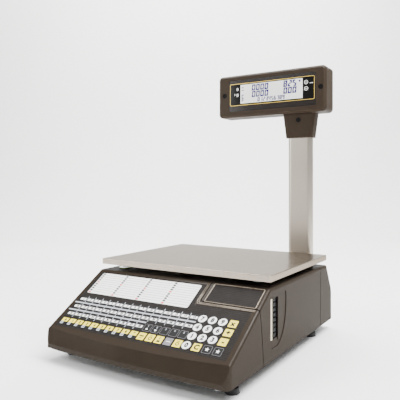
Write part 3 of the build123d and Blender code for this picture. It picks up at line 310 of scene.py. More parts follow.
BRONZE = paint(43, 37, 31)
FINISHES: dict[str, Finish] = {
    f.name: f
    for f in (
        MetallicPaint("bronze_moulding", BRONZE, 0.08, (0.42, 0.52), 900.0, 0.00003,
                      metallic=0.06, coat=0.12, flake=shade(BRONZE, 1.35), shine=0.0),
        # Beads: bronze moulding painted much lighter than the body, a painted highlight along the
        # raised ridges
        MetallicPaint("bronze_bead_painted_highlight", paint(96, 86, 73), 0.08, (0.25, 0.35), 900.0, 0.00002,
                      metallic=0.5, coat=0.3, flake=paint(120, 108, 92), shine=0.4),
        MetallicPaint("dark_bronze_moulding", paint(45, 37, 30), 0.08, (0.5, 0.6), 900.0,
                      0.00003, metallic=0.05, coat=0.04, flake=paint(58, 49, 40), shine=0.06),
        Finish("black_moulding", paint(20, 20, 20), 0.15, (0.45, 0.6), 1500.0, 0.00003,
               shine=0.2),
        Finish("black_powder_coat", paint(38, 37, 36), 0.12, (0.5, 0.65), 1100.0, 0.00006),
        Finish("brushed_stainless", paint(164, 153, 140), 0.015, (0.25, 0.3), 1500.0,
               0.000003, Grain.ALONG_X, 1.0, patch_scale=6.0, edge=0.35),
        Finish("satin_anodised", paint(190, 181, 168), 0.03, (0.3, 0.4), 1700.0, 0.000006,
               Grain.ALONG_Z, 1.0, patch_scale=15.0),
        Finish("cast_alloy", paint(150, 150, 150), 0.08, (0.45, 0.6), 700.0, 0.00008,
               metallic=1.0),
        Finish("zinc_sheet", paint(168, 172, 178), 0.08, (0.3, 0.42), 500.0, 0.00001,
               metallic=1.0, patch_scale=90.0),
        Finish("champagne_bar", paint(196, 184, 160), 0.04, (0.25, 0.38), 1500.0, 0.000006,
               Grain.ALONG_Z, 0.85),
        Finish("plated_screw", paint(150, 150, 152), 0.1, (0.25, 0.4), 2000.0, 0.00001,
               metallic=1.0),
        Finish("black_screw", paint(14, 13, 12), 0.2, (0.5, 0.65), 2000.0, 0.00002, shine=0.1),
        DottedFilm("keyboard_film", paint(10, 9, 8), 0.1, (0.45, 0.55), 1200.0, 0.00002,
                   shine=0.08, dot=paint(38, 34, 32)),
        Finish("black_pane", paint(8, 7, 6), 0.25, (0.08, 0.14), 400.0, 0.000004, shine=0.35),
        Finish("brown_pane", paint(30, 25, 22), 0.08, (0.14, 0.22), 500.0, 0.000004, shine=0.4),
        Finish("display_grey", paint(244, 245, 243), 0.02, (0.3, 0.42), 700.0, 0.000004),
        Finish("navy_segment", paint(26, 6, 96), 0.1, (0.4, 0.5), 900.0, 0.000004, shine=0.2),
        Finish("gold_ink", paint(206, 176, 84), 0.08, (0.3, 0.45), 900.0, 0.00001, metallic=0.5),
        Finish("white_ink", paint(248, 248, 246), 0.025, (0.4, 0.5), 900.0, 0.000006, coat=0.2),
        Finish("yellow_ink", paint(242, 222, 58), 0.04, (0.4, 0.5), 900.0, 0.000006),
        Finish("black_ink", paint(6, 6, 6), 0.2, (0.4, 0.5), 900.0, 0.000006, shine=0.2),
        Finish("grey_ink", paint(176, 179, 186), 0.04, (0.4, 0.5), 900.0, 0.000006, coat=0.2),
        Finish("steel_grey_ink", paint(112, 110, 114), 0.06, (0.4, 0.5), 900.0, 0.000006),
        Finish("red_ink", paint(206, 62, 52), 0.06, (0.45, 0.55), 900.0, 0.000006),
        Finish("card_stock", paint(250, 250, 248), 0.02, (0.5, 0.62), 1300.0, 0.00001),
        Finish("rule_line", paint(150, 150, 156), 0.04, (0.5, 0.6), 900.0, 0.000006),
        Finish("foot_rubber", paint(24, 24, 24), 0.2, (0.6, 0.75), 1200.0, 0.00006),
        Finish("platen_rubber", paint(70, 70, 74), 0.08, (0.6, 0.7), 1500.0, 0.00004),
        Finish("board_green", paint(32, 92, 58), 0.15, (0.35, 0.5), 600.0, 0.00003, coat=0.3),
        Finish("supply_case", paint(150, 151, 153), 0.08, (0.4, 0.5), 700.0, 0.00003,
               metallic=0.6),
        Finish("label_paper", paint(238, 236, 228), 0.03, (0.5, 0.62), 2500.0, 0.00003,
               Grain.ALONG_Z),
        Finish("liner_paper", paint(222, 200, 140), 0.05, (0.35, 0.5), 2500.0, 0.00003,
               Grain.ALONG_Z),
        Finish("grey_moulding", paint(176, 176, 172), 0.05, (0.4, 0.55), 1300.0, 0.00003),
        Finish("sintered_bronze", paint(176, 140, 82), 0.1, (0.4, 0.5), 1500.0, 0.00003,
               metallic=1.0),
        Finish("vial_liquid", paint(150, 190, 70), 0.1, (0.1, 0.2), 600.0, 0.00001, coat=0.8),
    )
}

NODE_FINISHES: dict[str, Sequence[str]] = {
    "bronze_moulding": ("upper_shell", "cassette_cover"),
    "dark_bronze_moulding": ("head_front_shell", "head_rear_shell", "neck"),
    "black_moulding": (
        "guide_comb", "mains_inlet", "switch_frame", "switch_rocker", "feed_motor", "label_sensor",
    ),
    "black_powder_coat": ("base_tray", "connector_panel"),
    "brushed_stainless": ("weighing_plate",),
    "satin_anodised": ("pole",),
    "cast_alloy": ("pole_socket", "plate_spider", "load_cell", "print_head"),
    "zinc_sheet": (
        "cell_block", "key_plate", "data_ports", "cassette_rails", "latch_catch",
        "cassette_frame", "printer_brackets", "head_arm", "cassette_latch",
    ),
    "champagne_bar": ("peel_bar",),
    "plated_screw": (
        "overload_stops", "base_screws", "key_domes", "motor_shaft", "roll_spindles",
        "hinge_pins",
    ),
    "black_screw": ("head_screws",),
    "keyboard_film": ("keyboard_overlay", "name_panel"),
    "brown_pane": ("front_window", "rear_window"),
    "display_grey": ("front_lcd", "rear_lcd"),
    "foot_rubber": (
        "foot_front_left", "foot_front_right", "foot_rear_left", "foot_rear_right",
        "plate_buffers", "drive_belt",
    ),
    "platen_rubber": ("platen_roller",),
    "board_green": ("main_board", "display_board"),
    "supply_case": ("power_supply",),
    "label_paper": ("label_roll",),
    "liner_paper": ("liner_roll",),
    "grey_moulding": ("supply_hub", "rewind_hub", "motor_pulley", "platen_pulley"),
    "sintered_bronze": ("platen_bushes",),
    "vial_liquid": ("level_vial",),
}


@dataclass
class Workshop:
    """Makes each finish once and dresses the modelled parts."""

    made: dict[str, bpy.types.Material] = field(default_factory=dict)

    def finish(self, name: str) -> bpy.types.Material:
        """Give the material of a finish, making it the first time."""
        if name not in self.made:
            self.made[name] = FINISHES[name].build()
        return self.made[name]

    def dress(self, name: str, nodes: Sequence[str]) -> None:
        """Put a finish on modelled parts.

        Args:
            name: The finish.
            nodes: Names of the parts.
        """
        for node in nodes:
            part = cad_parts[node]
            if not part.material_slots:
                part.data.materials.append(None)
            for slot in part.material_slots:
                slot.material = self.finish(name)
        log.info("%s on %d parts", name, len(nodes))


# ---- places and printing
@dataclass(frozen=True)
class Face:
    """A flat face to print on.

    Attributes:
        origin: Where across and up are both zero.
        across: Unit vector to the reader's right.
        up: Unit vector up the face.
        out: Unit vector out of the face.
    """

    origin: Vector
    across: Vector
    up: Vector
    out: Vector

    def at(self, u: float, v: float, height: float) -> Vector:
        """Give the point at u across, v up and height out, in metres."""
        return self.origin + self.across * u + self.up * v + self.out * height

    def matrix(self, u: float, v: float, height: float) -> Matrix:
        """Give the transform that lays a flat drawing on the face at a point."""
        turn = Matrix((self.across, self.up, self.out)).transposed().to_4x4()
        return Matrix.Translation(self.at(u, v, height)) @ turn


def widest_face(node: str) -> Face:
    """Find the largest upward face of a sloping sheet.

    Args:
        node: Name of the part.

    Returns:
        The face, with its origin at its front edge and x zero, running along X.
    """
    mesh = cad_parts[node].data
    best = max((p for p in mesh.polygons if p.normal.z > 0.1), key=lambda p: p.area)
    out = best.normal.copy()
    across = Vector((1.0, 0.0, 0.0))
    up = out.cross(across).normalized()
    top = [v.co for v in mesh.vertices if abs((v.co - best.center).dot(out)) < 0.05 * MM]
    front = min(top, key=lambda co: co.dot(up))
    return Face(Vector((0.0, front.y, front.z)), across, up, out)


def upright_face(node: str, facing: int) -> Face:
    """Give a pane's outer face, seen from in front of it.

    Args:
        node: Name of the part.
        facing: -1 for the front, 1 for the back.

    Returns:
        The face, with its origin at its lower left corner.
    """
    low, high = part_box(node)
    corner = low if facing < 0 else Vector((high.x, high.y, low.z))
    return Face(corner, Vector((-facing, 0, 0)), Vector((0, 0, 1)), Vector((0, facing, 0)))


def rounded_outline(u: float, v: float, width: float, height: float, radius: float) -> list[Point]:
    """Give a rounded rectangle's outline about its centre.

    Args:
        u: Centre across.
        v: Centre up.
        width: Full width.
        height: Full height.
        radius: Corner radius.

    Returns:
        The outline, counter-clockwise.
    """
    points = []
    for corner, (sign_u, sign_v) in enumerate(((1, -1), (1, 1), (-1, 1), (-1, -1))):
        cu = u + sign_u * (width / 2 - radius)
        cv = v + sign_v * (height / 2 - radius)
        for step in range(CORNER_STEPS + 1):
            angle = math.radians(-90 + 90 * corner + 90 * step / CORNER_STEPS)
            points.append((cu + radius * math.cos(angle), cv + radius * math.sin(angle)))
    return points


class Printing:
    """Collects thin raised shapes on a face and makes one mesh of them."""

    def __init__(self, face: Face, low: float, high: float) -> None:
        """Start an empty print.

        Args:
            face: The face to print on.
            low: Underside of the shapes above the face.
            high: Top of the shapes above the face.
        """
        self.face = face
        self.low = low
        self.high = high
        self.mesh = bmesh.new()

    def shape(self, outline: Sequence[Point]) -> None:
        """Add a closed slab with this outline, counter-clockwise."""
        lower = [self.mesh.verts.new(self.face.at(u, v, self.low)) for u, v in outline]
        upper = [self.mesh.verts.new(self.face.at(u, v, self.high)) for u, v in outline]
        self.mesh.faces.new(upper)
        self.mesh.faces.new(list(reversed(lower)))
        count = len(outline)
        for i in range(count):
            j = (i + 1) % count
            self.mesh.faces.new((lower[i], lower[j], upper[j], upper[i]))

    def box(self, u: float, v: float, width: float, height: float, radius: float = 0.0) -> None:
        """Add a rectangle about its centre, rounded if radius is given."""
        if radius:
            self.shape(rounded_outline(u, v, width, height, radius))
        else:
            a, b = width / 2, height / 2
            self.shape(((u - a, v - b), (u + a, v - b), (u + a, v + b), (u - a, v + b)))

    def disc(self, u: float, v: float, radius: float) -> None:
        """Add a round shape."""
        angles = [2 * math.pi / DISC_STEPS * i for i in range(DISC_STEPS)]
        self.shape([(u + radius * math.cos(a), v + radius * math.sin(a)) for a in angles])

    def loop(self, outer: Sequence[Point], inner: Sequence[Point]) -> None:
        """Add a closed line between two outlines that have the same number of points."""
        edges = (outer, self.low), (outer, self.high), (inner, self.high), (inner, self.low)
        rings = [
            [self.mesh.verts.new(self.face.at(u, v, height)) for u, v in outline]
            for outline, height in edges
        ]
        count = len(outer)
        for ring, a in enumerate(rings):
            b = rings[(ring + 1) % len(rings)]
            for i in range(count):
                j = (i + 1) % count
                self.mesh.faces.new((a[i], a[j], b[j], b[i]))

    def frame_line(
        self, u: float, v: float, width: float, height: float, radius: float, line: float
    ) -> None:
        """Add a rounded rectangle drawn with a line, measured to the line's outer edge."""
        inside = max(radius - line, 0.1 * MM)
        self.loop(
            rounded_outline(u, v, width, height, radius),
            rounded_outline(u, v, width - 2 * line, height - 2 * line, inside),
        )

    def star(self, u: float, v: float, radius: float) -> None:
        """Add a five-pointed star."""
        points = []
        for i in range(10):
            reach = radius if i % 2 == 0 else radius * STAR_WAIST
            angle = math.radians(90 + 36 * i)
            points.append((u + reach * math.cos(angle), v + reach * math.sin(angle)))
        self.shape(points)

    def glyph(self, text: str, u: float, v: float, size: float, weight: float) -> None:
        """Add plain figures about a point.

        Args:
            text: What to print.
            u: Centre across.
            v: Centre up.
            size: Height of the type.
            weight: How much thicker to draw the strokes, as a share of the height.
        """
        curve = bpy.data.curves.new("figures", "FONT")
        curve.body = text
        curve.size = size
        curve.align_x = "CENTER"
        curve.align_y = "CENTER"
        curve.resolution_u = 3
        curve.offset = weight * size
        curve.extrude = (self.high - self.low) / 2
        holder = bpy.data.objects.new("figures", curve)
        bpy.context.scene.collection.objects.link(holder)
        drawn = bpy.data.meshes.new_from_object(
            holder.evaluated_get(bpy.context.evaluated_depsgraph_get())
        )
        drawn.transform(self.face.matrix(u, v, (self.high + self.low) / 2))
        self.mesh.from_mesh(drawn)
        bpy.data.objects.remove(holder)
        bpy.data.curves.remove(curve)
        bpy.data.meshes.remove(drawn)

    def segments(self, text: str, u: float, v: float, height: float) -> None:
        """Add seven-segment figures, leaning a little, from their lower left corner.

        Args:
            text: Figures, stops and spaces.
            u: Left edge of the first figure.
            v: Foot of the figures.
            height: Height of a figure.
        """
        width, line, lean = height * 0.42, height * 0.22, 0.1
        inset, gap = line * 0.53, line * 0.04
        bars = {
            "a": (0, 1, 1, 1), "b": (1, 0.5, 1, 1), "c": (1, 0, 1, 0.5), "d": (0, 0, 1, 0),
            "e": (0, 0, 0, 0.5), "f": (0, 0.5, 0, 1), "g": (0, 0.5, 1, 0.5),
        }
        lit = {
            "0": "abcdef", "1": "bc", "2": "abged", "3": "abgcd", "4": "fgbc", "5": "afgcd",
            "6": "afgedc", "7": "abc", "8": "abcdefg", "9": "abcfgd", "-": "g",
        }
        for figure in text:
            if figure == ".":
                self.box(u - line * 0.6, v + line / 2, line, line)
                u += line * 0.6
                continue
            for bar in lit.get(figure, ""):
                x0, y0, x1, y1 = bars[bar]
                shift_0, shift_1 = lean * height * y0, lean * height * y1
                a, b = u + x0 * width + shift_0, v + line / 2 + y0 * (height - line)
                c, d = u + x1 * width + shift_1, v + line / 2 + y1 * (height - line)
                if y0 == y1:
                    a, c = a + inset, c - inset
                    self.shape(
                        ((a, b - line / 2), (c, b - line / 2), (c, b + line / 2), (a, b + line / 2))
                    )
                else:
                    b += gap if y0 else -line / 2
                    d += line / 2 if y1 == 1 else -gap
                    self.shape(
                        ((a - line / 2, b), (a + line / 2, b), (c + line / 2, d), (c - line / 2, d))
                    )
            u += width + 1.55 * line

    def piece(self, name: str, material: bpy.types.Material, body: str, slot: str) -> None:
        """Finish the print as one piece.

        Args:
            name: The piece's name.
            material: Its finish.
            body: The body that it rides on.
            slot: Name of a material slot; not used.
        """
        bmesh.ops.recalc_face_normals(self.mesh, faces=self.mesh.faces)
        made = new_object(name, self.mesh, material)
        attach(made, body)
        log.info("%s: %d faces", name, len(made.data.polygons))


# ---- keyboard
@dataclass
class Keyboard:
    """The printed keys of the sloped membrane keyboard."""

    workshop: Workshop
    key_pitch: float = 18.05 * MM
    row_pitch: float = 19.1 * MM
    keys_in: float = 93.8 * MM
    pad_in: float = 19.8 * MM
    first_row: float = 13.4 * MM
    columns: int = 15
    short_columns: int = 10
    base: float = 0.02 * MM
    step: float = 0.09 * MM

    def build(self) -> None:
        """Print every key."""
        self.face = widest_face("keyboard_overlay")
        self.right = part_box("keyboard_overlay")[1].x
        self.black = self.layer(0)
        self.grey = self.layer(1)
        self.white = self.layer(2)
        self.yellow = self.layer(2)
        self.steel = self.layer(2)
        self.figures = self.layer(3)
        self.light_figures = self.layer(3)
        self.grey_figures = self.layer(3)
        self.direct_keys()
        self.outlined_keys()
        self.front_row()
        self.number_pad()
        for name, layer, finish in (
            ("key_grounds", self.black, "black_ink"),
            ("key_separators", self.grey, "grey_ink"),
            ("key_white_fields", self.white, "white_ink"),
            ("key_yellow_fields", self.yellow, "yellow_ink"),
            ("key_grey_field", self.steel, "steel_grey_ink"),
            ("key_figures", self.figures, "black_ink"),
            ("key_light_figures", self.light_figures, "white_ink"),
            ("key_grey_figures", self.grey_figures, "grey_ink"),
        ):
            layer.piece(name, self.workshop.finish(finish), "root", "overlay_film")

    def layer(self, order: int) -> Printing:
        """Start a layer of ink that lies on those before it."""
        low = self.base + order * self.step
        return Printing(self.face, low, low + self.step * 1.6)

    def column(self, index: int) -> float:
        """Give the place across of a column of the left block, counted from its left."""
        return self.right - self.keys_in - (self.columns - 1 - index) * self.key_pitch

    def row(self, index: int) -> float:
        """Give the place up the slope of a row, counted from the front."""
        return self.first_row + index * self.row_pitch

    def direct_keys(self) -> None:
        """Print the direct keys: a white band with a number across a black key."""
        cell = self.key_pitch
        number = 0
        for row, count in ((3, self.columns), (2, self.columns), (1, self.short_columns)):
            v = self.row(row)
            middle = (self.column(0) + self.column(count - 1)) / 2
            if row < 3:
                band = v + self.row_pitch / 2 + 0.4 * MM
                self.grey.box(middle - 0.2 * cell, band, (count + 0.3) * cell, 2.6 * MM)
            for index in range(count):
                number += 1
                u = self.column(index)
                self.black.box(u, v, cell - 2.6 * MM, 14.6 * MM)
                self.white.box(u, v + 0.3 * MM, cell - 4.4 * MM, 5.4 * MM, 0.5 * MM)
                self.figures.glyph(str(number), u + 0.6 * MM, v + 0.3 * MM, 5.6 * MM, 0.06)
                if index:
                    self.grey.box(u - cell / 2, v + 0.4 * MM, 0.9 * MM, 16.0 * MM)

    def outlined_keys(self) -> None:
        """Print the outlined black keys beside the direct keys."""
        size = 15.4 * MM
        v = self.row(1)
        for index in range(self.short_columns, self.columns):
            u = self.column(index)
            self.black.box(u, v, size + 1.2 * MM, size + 1.2 * MM, 2.2 * MM)
            self.steel.frame_line(u, v, size, size, 2.0 * MM, 0.4 * MM)
            order = index - self.short_columns
            self.grey_figures.glyph(str(order + 1), u, v + 3.6 * MM, 5.0 * MM, 0.02)
            if order < 2:
                point = -1 if order else 1
                tip = v - 2.6 * MM + point * 2.4 * MM
                foot = v - 2.6 * MM - point * 1.6 * MM
                arrow = [(u, tip), (u - 2.6 * MM, foot), (u + 2.6 * MM, foot)]
                self.light_figures.shape(arrow if point > 0 else arrow[::-1])

    def front_row(self) -> None:
        """Print the row nearest the user: split keys, then single keys with a sign."""
        size = 14.4 * MM
        v = self.row(0)
        for index in range(self.short_columns):
            u = self.column(index)
            self.black.box(u, v, size + 1.2 * MM, size + 1.6 * MM, 0.8 * MM)
            self.yellow.box(u, v + 2.9 * MM, size, 8.6 * MM, 0.5 * MM)
            left_half = u - size / 4
            wide = size / 2 - 0.6 * MM
            self.grey.box(left_half + 0.3 * MM, v - 4.2 * MM, wide, 5.6 * MM, 0.4 * MM)
            self.figures.glyph(str(index), u + 0.8 * MM, v + 2.6 * MM, 6.6 * MM, 0.07)
            self.figures.box(left_half + 0.4 * MM, v - 4.4 * MM, 2.8 * MM, 1.4 * MM)
        signs = (self.sign_bar, self.sign_ring, self.sign_post, self.sign_line, self.sign_ring)
        for index, sign in zip(range(self.short_columns, self.columns), signs):
            u = self.column(index)
            plain = sign == self.sign_line
            self.black.box(u, v, size + 1.2 * MM, size + 1.6 * MM, 0.8 * MM)
            (self.steel if plain else self.yellow).box(u, v, size, size + 0.4 * MM, 0.7 * MM)
            sign(u, v)

    def sign_bar(self, u: float, v: float) -> None:
        """Print a key sign: a thick bar over a thin one."""
        self.figures.box(u, v + 0.8 * MM, 8.6 * MM, 2.4 * MM)
        self.figures.box(u, v - 3.4 * MM, 5.0 * MM, 0.9 * MM)

    def sign_ring(self, u: float, v: float) -> None:
        """Print a key sign: a ring under a short bar."""
        self.figures.frame_line(u, v - 0.8 * MM, 6.8 * MM, 6.8 * MM, 3.3 * MM, 1.3 * MM)
        self.figures.box(u, v + 4.6 * MM, 5.6 * MM, 1.0 * MM)

    def sign_post(self, u: float, v: float) -> None:
        """Print a key sign: a narrow post over a block."""
        self.figures.box(u, v + 3.0 * MM, 1.4 * MM, 4.8 * MM)
        self.figures.box(u, v - 3.2 * MM, 5.8 * MM, 3.6 * MM)

    def sign_line(self, u: float, v: float) -> None:
        """Print a key sign: one light line."""
        self.light_figures.box(u, v, 8.0 * MM, 1.3 * MM)

    def number_pad(self) -> None:
        """Print the number keys and the signs beside them."""
        for row, keys in enumerate(("0C**", "123-", "456+", "789x")):
            v = self.row(row)
            for place, key in enumerate(keys):
                u = self.right - self.pad_in - (len(keys) - 1 - place) * self.row_pitch
                if key.isdigit():
                    self.black.disc(u, v, 9.2 * MM)
                    self.black.box(u, v - 7.0 * MM, 8.0 * MM, 4.6 * MM, 1.0 * MM)
                    self.white.disc(u, v + 0.3 * MM, 7.7 * MM)
                    self.figures.glyph(key, u, v + 0.3 * MM, 11.6 * MM, 0.055)
                elif key == "*":
                    self.black.box(u, v, 16.2 * MM, 16.2 * MM, 2.0 * MM)
                    self.steel.frame_line(u, v, 15.2 * MM, 15.2 * MM, 1.8 * MM, 0.4 * MM)
                    self.light_figures.star(u, v, 3.9 * MM)
                else:
                    self.black.box(u, v, 16.4 * MM, 16.4 * MM, 1.2 * MM)
                    self.yellow.box(u, v, 14.6 * MM, 14.6 * MM, 0.8 * MM)
                    self.figures.glyph(key, u, v, 12.4 * MM, 0.055)


@dataclass
class PriceList:
    """The white card with ruled columns above the keys."""

    workshop: Workshop
    inset: float = 7.7 * MM
    foot: float = 89.0 * MM
    height: float = 57.0 * MM
    width: float = 234.5 * MM
    columns: int = 4
    lines: int = 10
    gutter: float = 7.6 * MM

    def build(self) -> None:
        """Lay the card and print its rules and marks."""
        face = widest_face("keyboard_overlay")
        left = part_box("keyboard_overlay")[0].x + self.inset
        pitch = self.width / self.columns
        row = self.height / self.lines
        card = Printing(face, 0.02 * MM, 0.16 * MM)
        middle = (left + self.width / 2, self.foot + self.height / 2)
        card.box(*middle, self.width, self.height, 2.5 * MM)
        rules = Printing(face, 0.14 * MM, 0.2 * MM)
        marks = Printing(face, 0.14 * MM, 0.22 * MM)
        red = Printing(face, 0.14 * MM, 0.22 * MM)
        length = pitch - self.gutter - 1.5 * MM
        for column in range(self.columns):
            start = left + column * pitch
            for line in range(self.lines):
                v = self.foot + (line + 0.5) * row
                if line:
                    rules.box(start + self.gutter + length / 2, v - row / 2, length, 0.9 * MM)
                ink = red if line in (0, self.lines // 2) else marks
                ink.box(start + self.gutter / 2 + 0.4 * MM, v, 5.6 * MM, 3.8 * MM, 0.3 * MM)
        for name, layer, finish, slot in (
            ("price_list_card", card, "card_stock", "label_paper"),
            ("price_list_rules", rules, "rule_line", "overlay_film"),
            ("price_list_marks", marks, "black_ink", "overlay_film"),
            ("price_list_red_marks", red, "red_ink", "overlay_film"),
        ):
            layer.piece(name, self.workshop.finish(finish), "root", slot)


# ---- display head
@dataclass
class DisplayFace:
    """One face of the display head: gold line, black ground, display and its figures."""

    workshop: Workshop
    side: str
    facing: int
    line_side: float = 2.5 * MM
    line_foot: float = 13.5 * MM
    line_size: Point = (209.8 * MM, 52.0 * MM)
    display_size: Point = (154.5 * MM, 44.0 * MM)
    display_side: float = 30.5 * MM
    display_foot: float = 18.0 * MM

    def build(self) -> None:
        """Print the face on its pane."""
        face = upright_face(f"{self.side}_window", self.facing)
        width, height = self.line_size
        mid_u = self.line_side + width / 2
        mid_v = self.line_foot + height / 2
        ground = Printing(face, 0.01 * MM, 0.1 * MM)
        ground.box(mid_u, mid_v, width - 2.0 * MM, height - 2.0 * MM, 2.4 * MM)
        gold = Printing(face, 0.04 * MM, 0.22 * MM)
        gold.frame_line(mid_u, mid_v, width, height, 3.2 * MM, 1.15 * MM)
        screen = Printing(face, 0.04 * MM, 0.2 * MM)
        wide, tall = self.display_size
        left = self.display_side
        low = self.display_foot
        screen.box(left + wide / 2, low + tall / 2, wide, tall, 0.6 * MM)
        segments = Printing(face, 0.16 * MM, 0.28 * MM)
        self.figures(segments, left, low)
        icons = Printing(face, 0.08 * MM, 0.2 * MM)
        self.icons(icons, left, left + wide, low, tall)
        for name, layer, finish, slot in (
            ("ground", ground, "black_pane", "window_acrylic"),
            ("gold_line", gold, "gold_ink", "window_acrylic"),
            ("screen", screen, "display_grey", "lcd_glass"),
            ("figures", segments, "navy_segment", "lcd_glass"),
            ("icons", icons, "white_ink", "window_acrylic"),
        ):
            layer.piece(f"{self.side}_display_{name}", self.workshop.finish(finish), "root", slot)

    def figures(self, print_: Printing, left: float, low: float) -> None:
        """Print the weights, prices and signs of the display.

        Args:
            print_: The layer to print on.
            left: The display's left edge.
            low: The display's lower edge.
        """
        tall = 14.2 * MM
        for text, u, v in (
            ("0000", 31.0, 28.0),
            ("0000", 31.0, 12.6),
            ("825", 110.0, 28.6),
            ("000", 110.0, 13.2),
        ):
            print_.segments(text, left + u * MM, low + v * MM, tall)
        print_.segments("0123456789", left + 45.0 * MM, low + 2.0 * MM, 9.0 * MM)
        for v in (37.0, 31.0, 19.6, 12.4, 8.0):
            print_.box(left + 6.0 * MM, low + v * MM, 5.4 * MM, 2.0 * MM)
        print_.box(left + 4.2 * MM, low + 12.0 * MM, 2.0 * MM, 16.0 * MM)
        print_.disc(left + 147.5 * MM, low + 39.0 * MM, 2.4 * MM)

    def icons(
        self, print_: Printing, left: float, right: float, low: float, tall: float
    ) -> None:
        """Print the small marks beside the display.

        Args:
            print_: The layer to print on.
            left: The display's left edge.
            right: The display's right edge.
            low: The display's lower edge.
            tall: The display's height.
        """
        for v in (0.78, 0.46):
            mark_v = low + v * tall
            print_.box(left - 8.0 * MM, mark_v, 6.5 * MM, 1.4 * MM)
            for rise in (2.6, -2.6):
                print_.box(left - 8.0 * MM, mark_v + rise * MM, 4.4 * MM, 1.2 * MM)
            print_.frame_line(right + 8.0 * MM, mark_v, 8.8 * MM, 8.8 * MM, 4.2 * MM, 1.0 * MM)
            print_.box(right + 8.0 * MM, mark_v, 4.0 * MM, 1.1 * MM)
        print_.box(left - 15.0 * MM, low + 0.5 * tall, 1.2 * MM, 5.0 * MM)
        print_.box(right + 20.0 * MM, low + 0.72 * tall, 8.0 * MM, 1.2 * MM)


# ---- beads on the slope
@dataclass
class SlopeBeads:
    """Raised moulded lines on the slope, round the door's panel and the door's opening."""

    workshop: Workshop
    width: float = 1.5 * MM
    height: float = 0.55 * MM
    root_depth: float = 0.3 * MM
    sunk: float = 0.4 * MM
    panel_margin: float = 2.4 * MM
    panel_radius: float = 2.0 * MM
    door_side: float = 10.5 * MM
    door_foot: float = 5.0 * MM
    door_radius: float = 6.0 * MM
    shell_edge: float = 6.0 * MM

    def bead(
        self, name: str, face: Face, path: Sequence[Point], body: str, closed: bool
    ) -> None:
        """Lay one rounded bead along a path.

        Args:
            name: The piece's name.
            face: The face that it lies on.
            path: Corners of its middle line.
            body: The body that it rides on.
            closed: Whether the path closes on itself.
        """
        mesh = bmesh.new()
        count = len(path)
        sections = []
        for i, (u, v) in enumerate(path):
            here = Vector((u, v))
            before = Vector(path[i - 1]) if i or closed else None
            after = Vector(path[(i + 1) % count]) if i < count - 1 or closed else None
            lead = (here - before).normalized() if before else (after - here).normalized()
            tail = (after - here).normalized() if after else lead
            normal_a = Vector((-lead.y, lead.x))
            normal_b = Vector((-tail.y, tail.x))
            mitre = (normal_a + normal_b).normalized()
            mitre /= max(0.3, mitre.dot(normal_a))
            ring = []
            for step in range(CORNER_STEPS + 1):
                angle = math.pi * step / CORNER_STEPS
                side = math.cos(angle) * self.width / 2
                rise = math.sin(angle) * self.height
                ring.append(mesh.verts.new(face.at(u + mitre.x * side, v + mitre.y * side, rise)))
            ring.append(mesh.verts.new(face.at(u, v, -self.root_depth)))
            sections.append(ring)
        around = len(sections[0])
        for i in range(count if closed else count - 1):
            a, b = sections[i], sections[(i + 1) % count]
            for j in range(around):
                k = (j + 1) % around
                mesh.faces.new((a[j], b[j], b[k], a[k]))
        if not closed:
            mesh.faces.new(sections[0])
            mesh.faces.new(list(reversed(sections[-1])))
        bmesh.ops.recalc_face_normals(mesh, faces=mesh.faces)
        # The beads' lighter bronze colour is a painted highlight along the ridges
        made = new_object(name, mesh, self.workshop.finish("bronze_bead_painted_highlight"), smooth=True)
        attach(made, body)
        log.info("%s laid", name)

    def build(self) -> None:
        """Lay the beads of the shell and of the door."""
        overlay = widest_face("keyboard_overlay")
        slope = Face(overlay.at(0, 0, self.sunk), overlay.across, overlay.up, overlay.out)
        low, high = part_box("name_panel")
        panel_foot = (Vector((0, low.y, low.z)) - slope.origin).dot(slope.up)
        panel_top = (Vector((0, high.y, high.z)) - slope.origin).dot(slope.up)
        rim = rounded_outline(
            (low.x + high.x) / 2,
            (panel_foot + panel_top) / 2,
            high.x - low.x + 2 * self.panel_margin,
            panel_top - panel_foot + 2 * self.panel_margin,
            self.panel_radius,
        )
        self.bead("panel_rim", slope, rim, "cassette", True)
        side = low.x - self.door_side
        foot = panel_foot - self.door_foot
        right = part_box("upper_shell")[1].x - self.shell_edge
        radius = self.door_radius
        turns = [step * math.pi / 2 / CORNER_STEPS for step in range(CORNER_STEPS + 1)]
        for index, (shift, drop) in enumerate(((2.6, 1.9), (5.2, 4.3)), 1):
            x = side - shift * MM
            v = foot - drop * MM
            corner = [
                (x + radius - radius * math.cos(turn), v + radius - radius * math.sin(turn))
                for turn in turns
            ]
            path = [(x, panel_top + 2.0 * MM), *corner, (right, v)]
            self.bead(f"door_surround_bead_{index}", slope, path, "root", False)


# ---- studio
@dataclass(frozen=True)
class Light:
    """A soft rectangular light.

    Attributes:
        name: Its name.
        place: Where it hangs.
        target: Where it points.
        size: Its width and height.
        power: Its power in watts.
    """

    name: str
    place: Sequence[float]
    target: Sequence[float]
    size: Point
    power: float

    def hang(self) -> None:
        """Put the light in the scene."""
        data = bpy.data.lights.new(self.name, "AREA")
        data.shape = "RECTANGLE"
        data.size, data.size_y = self.size
        data.energy = self.power
        lamp = bpy.data.objects.new(self.name, data)
        lamp.location = self.place
        aim = Vector(self.target) - Vector(self.place)
        lamp.rotation_euler = aim.to_track_quat("-Z", "Y").to_euler()
        bpy.context.scene.collection.objects.link(lamp)


LIGHTS = (
    Light("top_light", (0.9, 0.3, 2.5), (0.0, 0.0, 0.0), (1.8, 1.8), 170.0),
    Light("front_light", (-1.0, -0.9, 0.55), (-0.1, -0.1, 0.1), (0.6, 0.6), 7.0),
    Light("key_light", (-0.9, -1.2, 1.15), (0.0, -0.2, 0.1), (1.0, 0.12), 14.0),
    Light("rim_light", (-0.9, -0.5, 1.8), (0.0, 0.0, 0.13), (0.3, 0.3), 6.0),
    Light("edge_light", (0.95, 0.12, 1.45), (0.15, -0.1, 0.1), (0.1, 1.2), 22.0),
)


